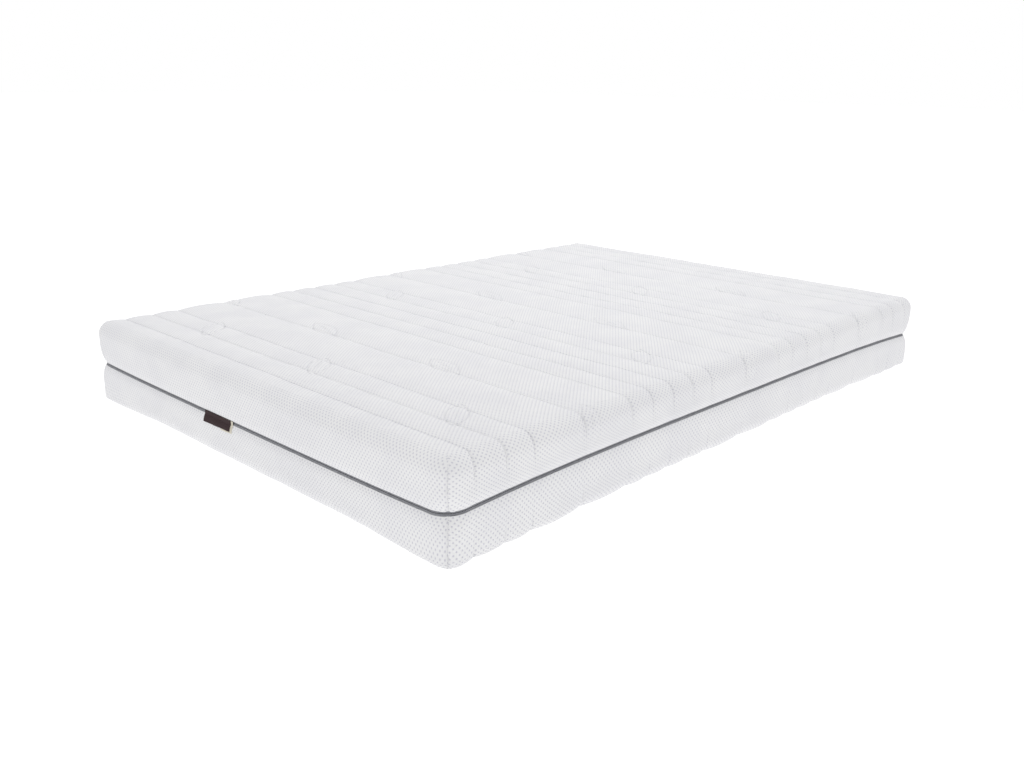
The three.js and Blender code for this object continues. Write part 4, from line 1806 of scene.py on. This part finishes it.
    def build_quilting(self) -> bpy.types.Object:
        """Builds the thread of the quilt lines and the leaves.

        Returns:
            The stitching.
        """
        stitches = Stitches()
        reach = self.form.field[1] + 0.93 * self.wall.length
        run = np.linspace(-reach, reach, 420)
        rows = []
        for line in self.plan.lines():
            rows.append(stitches.row(*self._on_surface(np.full(len(run), line), run)))
        for leaf in self.plan.leaves():
            for stroke in leaf.strokes():
                rows.append(stitches.row(*self._on_surface(stroke[:, 0], stroke[:, 1])))
        return stitches.build(f"cover_{self.half.label}_quilting_thread", rows)

    def build_corner_seams(self) -> list[bpy.types.Object]:
        """Builds the stitching of the four corner seams, in the order of the corner nodes.

        Returns:
            One piece for each corner.
        """
        stitches = Stitches(3.2 * MM, 4.0 * MM, 0.9 * MM)
        names = ("head_left", "foot_left", "foot_right", "head_right")
        pieces = []
        for corner, (line, facing) in zip(names, self.seam_line):
            name = f"seam_thread_{self.half.label}_{corner}"
            pieces.append(stitches.build(name, [stitches.row(line, facing)]))
        return pieces

    def build(self) -> None:
        """Builds and dresses every piece of this half."""
        label, body = self.half.label, self.half.body
        panel = self.build_panel()
        dress(panel, self.finishes.knit)
        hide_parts(f"cover_{label}_knit", f"cover_{label}_wadding")
        lining = self.build_lining()
        dress(lining, self.finishes.lining)
        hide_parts(f"cover_{label}_lining")
        quilting = self.build_quilting()
        dress(quilting, self.finishes.thread)
        seams = self.build_corner_seams()
        for seam in seams:
            # the corner seams get the thread with the painted shade of the crease
            dress(seam, self.finishes.seam_thread)
            corner = seam.name.removeprefix(f"seam_thread_{label}_")
            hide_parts(f"corner_seam_{label}_{corner}")
        for piece in (panel, lining, quilting, *seams):
            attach(piece, body)
            self.pieces.append(piece)


# ---- The zip.


@dataclass
class Zip:
    """The zip round the mattress: two tapes, their coils, and the small hard parts on the left side."""

    form: MattressForm
    finishes: Finishes
    tape_inset: float = 7.5 * MM
    tape_thickness: float = 0.8 * MM
    tape_depth: float = 12 * MM
    tape_opening: float = 0.55 * MM
    spacing: float = 12 * MM
    tooth_pitch: float = 2.5 * MM
    tooth_length: float = 2.6 * MM
    tooth_thickness: float = 1.5 * MM
    coil_inset: float = 9.5 * MM
    pieces: list[bpy.types.Object] = field(default_factory=list)

    def __post_init__(self) -> None:
        """Reads where the zip starts and ends from the frame."""
        _, box_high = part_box("zip_retainer_box")
        stop_low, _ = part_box("zip_stop_top")
        gap = 0.3 * MM
        self.ends = (stop_low.x - gap, box_high.x + gap)

    def build_tape(self, half: Half) -> bpy.types.Object:
        """Builds one tape, with a rolled inner edge.

        Args:
            half: the cover half that it is sewn to.

        Returns:
            The tape.
        """
        across = np.array([0.0, 1.0, 1.8, 2.6, 3.6, 5.0, 8.0, 0.0]) * MM
        across[0], across[-1] = self.tape_opening, self.tape_depth
        roll = np.array([0.25, -0.12, -0.22, -0.1, 0.0, 0.0, 0.0, 0.0]) * MM
        loops = []
        for out, extra in zip(across, roll):
            height = self.form.zip_height + half.value * out
            loops.append(self.form.loop(self.tape_inset + extra, height, self.spacing, self.ends))
        stations = np.arange(len(loops[0]), dtype=float)
        tape = flat_grid(f"zip_tape_{half.label}_woven", stations, np.arange(len(across), dtype=float))
        index = np.rint(points_of(tape)).astype(int)
        steps = np.linalg.norm(np.diff(loops[0], axis=0), axis=1)
        walked = np.concatenate([[0.0], np.cumsum(steps)])
        self.run = float(walked[-1])
        stacked = np.stack(loops)
        write_uv(tape, walked[index[:, 0]], across[index[:, 1]])
        move_points(tape, stacked[index[:, 1], index[:, 0]])
        self._face_out(tape)
        apply_modifier(tape, "SOLIDIFY", thickness=self.tape_thickness, offset=-1.0)
        shade(tape, 60.0)
        return tape

    @staticmethod
    def _face_out(piece: bpy.types.Object) -> None:
        """Turns an open strip so that its faces look away from the middle of the mattress.

        Args:
            piece: the strip.
        """
        middles = face_centres(piece)
        normals = np.empty(len(piece.data.polygons) * 3, np.float32)
        piece.data.polygons.foreach_get("normal", normals)
        away = np.sum(normals.reshape(-1, 3)[:, :2] * middles[:, :2], axis=1).mean()
        if away < 0.0:
            with editing(piece, Pick.FACES):
                bpy.ops.mesh.select_all(action="SELECT")
                bpy.ops.mesh.flip_normals()

    def build_coil(self, half: Half) -> bpy.types.Object:
        """Builds one row of teeth: one tooth is modelled, and the others are its copies.

        Args:
            half: the cover half that it belongs to.

        Returns:
            The coil.
        """
        middle = self.form.zip_height + half.value * (self.tape_opening + self.tooth_length / 2.0)
        line = self.form.loop(self.coil_inset, middle, self.spacing / 2.0, self.ends)
        upwards = np.zeros_like(line)
        upwards[:, 2] = 1.0
        tooth = Stitches(self.tooth_thickness, self.tooth_pitch, self.tooth_length)
        shift = self.tooth_pitch * (0.0 if half is Half.UPPER else 0.5)
        middles, forward, facing = tooth.row(line, upwards)
        middles = middles + shift * forward / np.linalg.norm(forward, axis=1)[:, None]
        return tooth.build(f"zip_coil_{half.label}_teeth", [(middles, forward, facing)])

    def build(self) -> None:
        """Builds and dresses both sides of the zip, and dresses its hard parts."""
        for half in Half:
            tape = self.build_tape(half)
            dress(tape, self.finishes.tape)
            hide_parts(f"zip_tape_{half.label}")
            coil = self.build_coil(half)
            dress(coil, self.finishes.coil)
            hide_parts(f"zip_coil_{half.label}")
            for piece in (tape, coil):
                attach(piece, half.body)
                self.pieces.append(piece)
        for node in ("zip_slider", "zip_pull_tab", "zip_stop_top", "zip_stop_bottom"):
            dress(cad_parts[node], self.finishes.metal)
        for node in ("zip_retainer_box", "zip_insertion_pin"):
            dress(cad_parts[node], self.finishes.coil)


# ---- Labels.


@dataclass
class Label:
    """A label sewn under the upper half's rim at the foot end, so that it hangs over the zip."""

    form: MattressForm
    node: str
    clearance: float
    thickness: float
    tilt: float
    curl: float
    body: str = Half.UPPER.body
    wave_height: float = 0.35 * MM
    wave_length: float = 50 * MM

    def build(self, name: str, material: bpy.types.Material, slot: str) -> bpy.types.Object:
        """Builds the label in the place of its node.

        Args:
            name: the piece's name.
            material: its cloth.
            slot: not used.

        Returns:
            The label.
        """
        low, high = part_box(self.node)
        columns = np.linspace(low.y, high.y, 49)
        rows = np.linspace(low.z, high.z, 21)
        label = flat_grid(name, columns, rows)
        flat = points_of(label)
        y, z = flat[:, 0], flat[:, 1]
        middle = (low.y + high.y) / 2.0
        share = (high.z - z) / (high.z - low.z)
        height = z - self.tilt * (y - middle) * share
        foot_end = np.full(len(y), -self.form.length / 2.0)
        rim = self.form.rim_height(Half.LOWER) + self.form.zip_shift(foot_end, y)
        drop = np.clip(rim - height, 0.0, self.form.pinch_reach)
        inset = self.form.rim_pinch * (1.0 - drop / self.form.pinch_reach) ** 2.5
        wave = self.wave_height * np.sin((y - middle) * 2.0 * math.pi / self.wave_length + 1.0) * share
        corner = (np.abs(y - middle) / (high.y - middle)) ** 4
        curled = self.curl * share**2 * (0.4 + 0.6 * corner)
        x = -(self.form.length / 2.0 - inset + self.clearance) - wave - curled
        write_uv(label, y - low.y, z - low.z)
        move_points(label, np.column_stack([x, y, height]))
        Zip._face_out(label)
        apply_modifier(label, "SOLIDIFY", thickness=self.thickness, offset=1.0)
        apply_modifier(label, "BEVEL", width=0.12 * MM, segments=1, limit_method="ANGLE")
        shade(label, 60.0)
        dress(label, material)
        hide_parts(self.node)
        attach(label, self.body)
        return label


# ---- The core.


@dataclass
class FoamCore:
    """Three foam blocks, one on the other, in a thin knitted sleeve."""

    form: MattressForm
    finishes: Finishes
    plan_radius: float = 55.5 * MM
    cut_margin: float = 80 * MM
    cut_spacing: float = 50 * MM
    knife_wander: float = 0.12 * MM
    sleeve_thickness: float = 0.8 * MM
    sleeve_wrap: float = 330 * MM
    sleeve_radius: float = 70 * MM
    smallest_radius: float = 4 * MM
    sleeve_fold: float = 1.1 * MM
    pieces: list[bpy.types.Object] = field(default_factory=list)

    def build_block(self, node: str, round_face: int, radius: float, seed: int) -> bpy.types.Object:
        """Builds one block of foam in the place of its node.

        Args:
            node: the node that the block stands for.
            round_face: -1 if the lower edges are rounded, 1 for the upper ones, 0 for neither.
            radius: the radius of those edges.
            seed: the seed of its slight unevenness.

        Returns:
            The block.
        """
        low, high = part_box(node)
        size = high - low
        bpy.ops.object.select_all(action="DESELECT")
        bpy.ops.mesh.primitive_cube_add(size=1.0, location=(low + high) / 2.0)
        block = bpy.context.object
        block.name = f"{node}_block"
        with editing(block, Pick.POINTS):
            bpy.ops.mesh.select_all(action="SELECT")
            bpy.ops.transform.resize(value=tuple(size))
        activate(block)
        bpy.ops.object.transform_apply(location=True, rotation=True, scale=True)
        self._bevel(block, lambda a, b: abs(a.z - b.z) > 1e-6, self.plan_radius, 10)
        if round_face:
            level = high.z if round_face > 0 else low.z
            self._bevel(block, lambda a, b: abs(a.z - level) < 1e-6 and abs(b.z - level) < 1e-6, radius, 6)
        with editing(block, Pick.FACES):
            for axis in (0, 1):
                start, stop = low[axis] + self.cut_margin, high[axis] - self.cut_margin
                for place in np.linspace(start, stop, round((stop - start) / self.cut_spacing)):
                    point, normal = Vector(), Vector()
                    point[axis], normal[axis] = place, 1.0
                    bpy.ops.mesh.select_all(action="SELECT")
                    bpy.ops.mesh.bisect(plane_co=point, plane_no=normal)
        places = points_of(block)
        facing = normals_of(block)
        wander = SoftNoise(seed, 0.12, 0.4).at(places[:, 0] + places[:, 2], places[:, 1] - places[:, 2])
        pared = self.knife_wander * (1.0 + np.clip(wander, -1.0, 1.0))
        move_points(block, places - facing * pared[:, None])
        shade(block, 40.0)
        return block

    @staticmethod
    def _bevel(block: bpy.types.Object, test: object, radius: float, segments: int) -> None:
        """Rounds the edges that pass a test.

        Args:
            block: the object.
            test: says for an edge's two ends whether it is rounded.
            radius: the radius of the rounding.
            segments: how many faces make it up.
        """
        mesh = block.data
        mesh.vertices.foreach_set("select", np.zeros(len(mesh.vertices), bool))
        mesh.polygons.foreach_set("select", np.zeros(len(mesh.polygons), bool))
        for edge in mesh.edges:
            ends = [mesh.vertices[i].co for i in edge.vertices]
            edge.select = bool(test(*ends))
        with editing(block, Pick.EDGES):
            bpy.ops.mesh.bevel(offset=radius, segments=segments, profile=0.5, affect="EDGES")

    def build_sleeve(self) -> bpy.types.Object:
        """Builds the sleeve, a thin knitted bag that is open in the middle of the underside.

        Returns:
            The sleeve.
        """
        low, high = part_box("core_sleeve")
        side = self.form.width / 2.0 - high.y
        bottom, top = low.z, high.z
        rows = [(180 * MM, bottom), (140 * MM, bottom), (90 * MM, bottom), (50 * MM, bottom)]
        rows += self._edge_rows(self.form.bottom_edge, side, bottom, -1)[::-1]
        side_low = self.form.bottom_edge + 12 * MM
        side_high = self.form.height - self.form.top_edge - 12 * MM
        rows += [(side, z) for z in np.linspace(side_low, side_high, 11)]
        rows += self._edge_rows(self.form.top_edge, side, top, 1)
        rows += [(inset, top) for inset in np.array([60, 110, 180, 280, 400, 520, 640]) * MM]
        loops = [self._ring(inset, z) for inset, z in rows]
        stations = np.arange(len(loops[0]), dtype=float)
        sleeve = flat_grid("core_sleeve_stockinette", stations, np.arange(len(rows), dtype=float))
        index = np.rint(points_of(sleeve)).astype(int)
        places = np.stack(loops)[index[:, 1], index[:, 0]]
        steps = np.linalg.norm(np.diff(loops[len(rows) // 2], axis=0), axis=1)
        walked = np.concatenate([[0.0], np.cumsum(steps)])
        drops = np.linalg.norm(np.diff(np.array(rows), axis=0), axis=1)
        down = np.concatenate([[0.0], np.cumsum(drops)])
        write_uv(sleeve, walked[index[:, 0]], down[index[:, 1]])
        along = walked[index[:, 0]]
        height = places[:, 2]
        above_edge = smooth((height - bottom - 14 * MM) / (25 * MM))
        below_edge = smooth((top - 30 * MM - height) / (30 * MM))
        folds = np.clip(SoftNoise(51, 0.05, 0.16).at(along, 0.25 * height), -1.2, 1.2) + 1.2
        span = np.abs(places[:, :2]) / np.array([self.form.length / 2.0, self.form.width / 2.0])
        outwards = np.where((span[:, 0] > span[:, 1])[:, None], np.array([1.0, 0.0]), np.array([0.0, 1.0]))
        closed = smooth(along / (30 * MM)) * smooth((walked[-1] - along) / (30 * MM))
        stands_out = self.sleeve_fold * folds * (above_edge * below_edge) * closed
        places[:, :2] += outwards * np.sign(places[:, :2]) * stands_out[:, None]
        move_points(sleeve, places)
        weld(sleeve, 0.05 * MM)
        self._fill_top(sleeve, top)
        faces_outwards(sleeve)
        apply_modifier(sleeve, "SOLIDIFY", thickness=self.sleeve_thickness, offset=-1.0)
        shade(sleeve, 60.0)
        return sleeve

    def _fill_top(self, sleeve: bpy.types.Object, top: float) -> None:
        """Closes the small hole in the middle of the sleeve's upper face.

        Args:
            sleeve: the sleeve.
            top: the height of its upper face.
        """
        mesh = sleeve.data
        uses = np.zeros(len(mesh.edges), int)
        corner_edges = np.empty(len(mesh.loops), np.int32)
        mesh.loops.foreach_get("edge_index", corner_edges)
        np.add.at(uses, corner_edges, 1)
        mesh.vertices.foreach_set("select", np.zeros(len(mesh.vertices), bool))
        mesh.polygons.foreach_set("select", np.zeros(len(mesh.polygons), bool))
        for edge in mesh.edges:
            high = all(mesh.vertices[i].co.z > top - 1 * MM for i in edge.vertices)
            edge.select = bool(uses[edge.index] == 1 and high)
        with editing(sleeve, Pick.EDGES):
            bpy.ops.mesh.edge_face_add()

    def _edge_rows(self, edge: float, side: float, face: float, up: int) -> list[tuple[float, float]]:
        """Lays out a quarter of an ellipse, from the upright side round to a flat face.

        Args:
            edge: how far the edge reaches in from the widest outline.
            side: the inset of the upright side.
            face: the height of the flat face.
            up: 1 for the upper face and -1 for the lower one.

        Returns:
            Rows of inset and height.
        """
        centre = self.form.height - edge if up > 0 else edge
        return [
            (edge - (edge - side) * math.cos(angle), centre + (face - centre) * math.sin(angle))
            for angle in np.linspace(0.0, math.pi / 2.0, 7)
        ]

    def _ring(self, inset: float, height: float) -> np.ndarray:
        """Walks round the core at one inset, closing where it started.

        Args:
            inset: the distance inside the widest outline.
            height: the height of the walk.

        Returns:
            One row of x, y and z for each point.
        """
        radius = max(self.sleeve_radius - inset, self.smallest_radius)
        half_x, half_y = self.form.length / 2.0 - inset, self.form.width / 2.0 - inset
        points = []
        for side_x, side_y, first in ((1, 1, 0.0), (-1, 1, 90.0), (-1, -1, 180.0), (1, -1, 270.0)):
            angle = np.radians(np.linspace(first, first + 90.0, 9))
            x = side_x * (half_x - radius) + radius * np.cos(angle)
            y = side_y * (half_y - radius) + radius * np.sin(angle)
            points.append(np.column_stack([x, y]))
        walk = []
        for index, part in enumerate(points):
            walk.append(part)
            gap = points[(index + 1) % 4][0] - part[-1]
            count = 60 if index % 2 == 0 else 42
            walk.append(part[-1] + gap * (np.arange(1, count)[:, None] / count))
        plan = np.concatenate([*walk, points[0][:1]])
        return np.column_stack([plan, np.full(len(plan), height)])

    def build(self) -> None:
        """Builds and dresses the core's pieces."""
        blocks = (
            ("support_core", -1, 13 * MM, 61, self.finishes.support),
            ("comfort_foam", 0, 0.0, 62, self.finishes.comfort),
            ("memory_foam", 1, 25 * MM, 63, self.finishes.memory),
        )
        for node, face, radius, seed, material in blocks:
            block = self.build_block(node, face, radius, seed)
            dress(block, material)
            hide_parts(node)
            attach(block, "core")
            self.pieces.append(block)
        sleeve = self.build_sleeve()
        dress(sleeve, self.finishes.sleeve)
        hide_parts("core_sleeve")
        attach(sleeve, "core")
        self.pieces.append(sleeve)


# ---- The studio.


@dataclass(frozen=True)
class Studio:
    """A white floor and backdrop, broad soft lights, and the camera."""

    camera_place: tuple[float, float, float] = (-2.0855, -1.8838, 0.8704)
    camera_forward: tuple[float, float, float] = (0.69122, 0.65643, -0.30219)
    camera_up: tuple[float, float, float] = (0.20693, 0.22086, 0.9531)
    lens_mm: float = 34.71
    horizon_light: float = 1.0
    ceiling_light: float = 0.74
    ceiling_starts: float = 0.14
    ceiling_full: float = 0.5
    floor_size: float = 60.0

    def build(self) -> None:
        """Builds the floor, the lights and the camera."""
        self._floor()
        self._world()
        self._lamp("top_softbox", (0.2, 0.3, 3.4), (0.1, 0.0, 0.2), (3.4, 2.6), 38.0)
        self._lamp("key_softbox", (3.6, 1.2, 2.2), (0.0, 0.0, 0.1), (2.4, 1.6), 17.0)
        self._camera()
        bpy.context.scene.view_settings.view_transform = "Standard"

    def _floor(self) -> None:
        """Lays the floor."""
        bpy.ops.object.select_all(action="DESELECT")
        bpy.ops.mesh.primitive_plane_add(size=self.floor_size, location=(0.0, 0.0, 0.0))
        floor = bpy.context.object
        floor.name = "studio_floor"
        dress(floor, LitAcrylicFloor().build())

    def _world(self) -> None:
        """Lights the studio from all round, with white walls that fade to a dimmer ceiling."""
        world = bpy.data.worlds.new("studio")
        world.use_nodes = True
        tree = world.node_tree
        tree.nodes.clear()
        way = add_node(tree, "TexCoord").outputs["Generated"]
        height = add_node(tree, "SeparateXYZ", inputs={0: way}).outputs["Z"]
        strength = add_node(
            tree, "MapRange", SMOOTH_STEP,
            {
                "Value": height, "From Min": self.ceiling_starts, "From Max": self.ceiling_full,
                "To Min": self.horizon_light, "To Max": self.ceiling_light,
            },
        ).outputs["Result"]
        light = add_node(tree, "Background", inputs={"Color": linear("FFFFFF"), "Strength": strength})
        add_node(tree, "OutputWorld", inputs={"Surface": light.outputs["Background"]})
        bpy.context.scene.world = world

    def _lamp(
        self, name: str, place: tuple[float, float, float], target: tuple[float, float, float],
        size: tuple[float, float], watts: float,
    ) -> None:
        """Adds a softbox.

        Args:
            name: the lamp's name.
            place: where it stands.
            target: what it faces.
            size: its width and height.
            watts: its power.
        """
        data = bpy.data.lights.new(name, "AREA")
        data.shape = "RECTANGLE"
        data.size, data.size_y = size
        data.energy = watts
        lamp = bpy.data.objects.new(name, data)
        lamp.location = place
        lamp.rotation_mode = "QUATERNION"
        lamp.rotation_quaternion = (Vector(target) - Vector(place)).to_track_quat("-Z", "Y")
        bpy.context.scene.collection.objects.link(lamp)

    def _camera(self) -> None:
        """Places the camera."""
        forward, up = Vector(self.camera_forward).normalized(), Vector(self.camera_up)
        right = forward.cross(up).normalized()
        up = right.cross(forward)
        data = bpy.data.cameras.new("camera")
        data.lens = self.lens_mm
        data.sensor_width = 36.0
        data.clip_start, data.clip_end = 0.05, 200.0
        camera = bpy.data.objects.new("camera", data)
        turn = Matrix((right, up, -forward)).transposed().to_4x4()
        camera.matrix_world = Matrix.Translation(self.camera_place) @ turn
        bpy.context.scene.collection.objects.link(camera)
        bpy.context.scene.camera = camera


def main() -> None:
    """Builds the mattress and the studio, and reports each piece."""
    logging.basicConfig(level=logging.INFO, format="%(message)s")
    form = MattressForm.from_frame()
    finishes = Finishes()
    Studio().build()
    pieces = []
    for half in Half:
        cover = CoverHalf(form, half, finishes)
        cover.build()
        pieces += cover.pieces
    closure = Zip(form, finishes)
    closure.build()
    pieces += closure.pieces
    woven = Label(form, "woven_label", 1.0 * MM, 0.7 * MM, 0.02, 0.6 * MM)
    pieces.append(woven.build("woven_label_damask", finishes.label, "woven_label"))
    care = Label(form, "care_label", 0.4 * MM, 0.3 * MM, 0.05, 0.4 * MM)
    pieces.append(care.build("care_label_satin", finishes.care_label, "care_label"))
    core = FoamCore(form, finishes)
    core.build()
    pieces += core.pieces
    for piece in pieces:
        LOG.info("%s: %d faces", piece.name, len(piece.data.polygons))


if __name__ == "__main__":
    main()
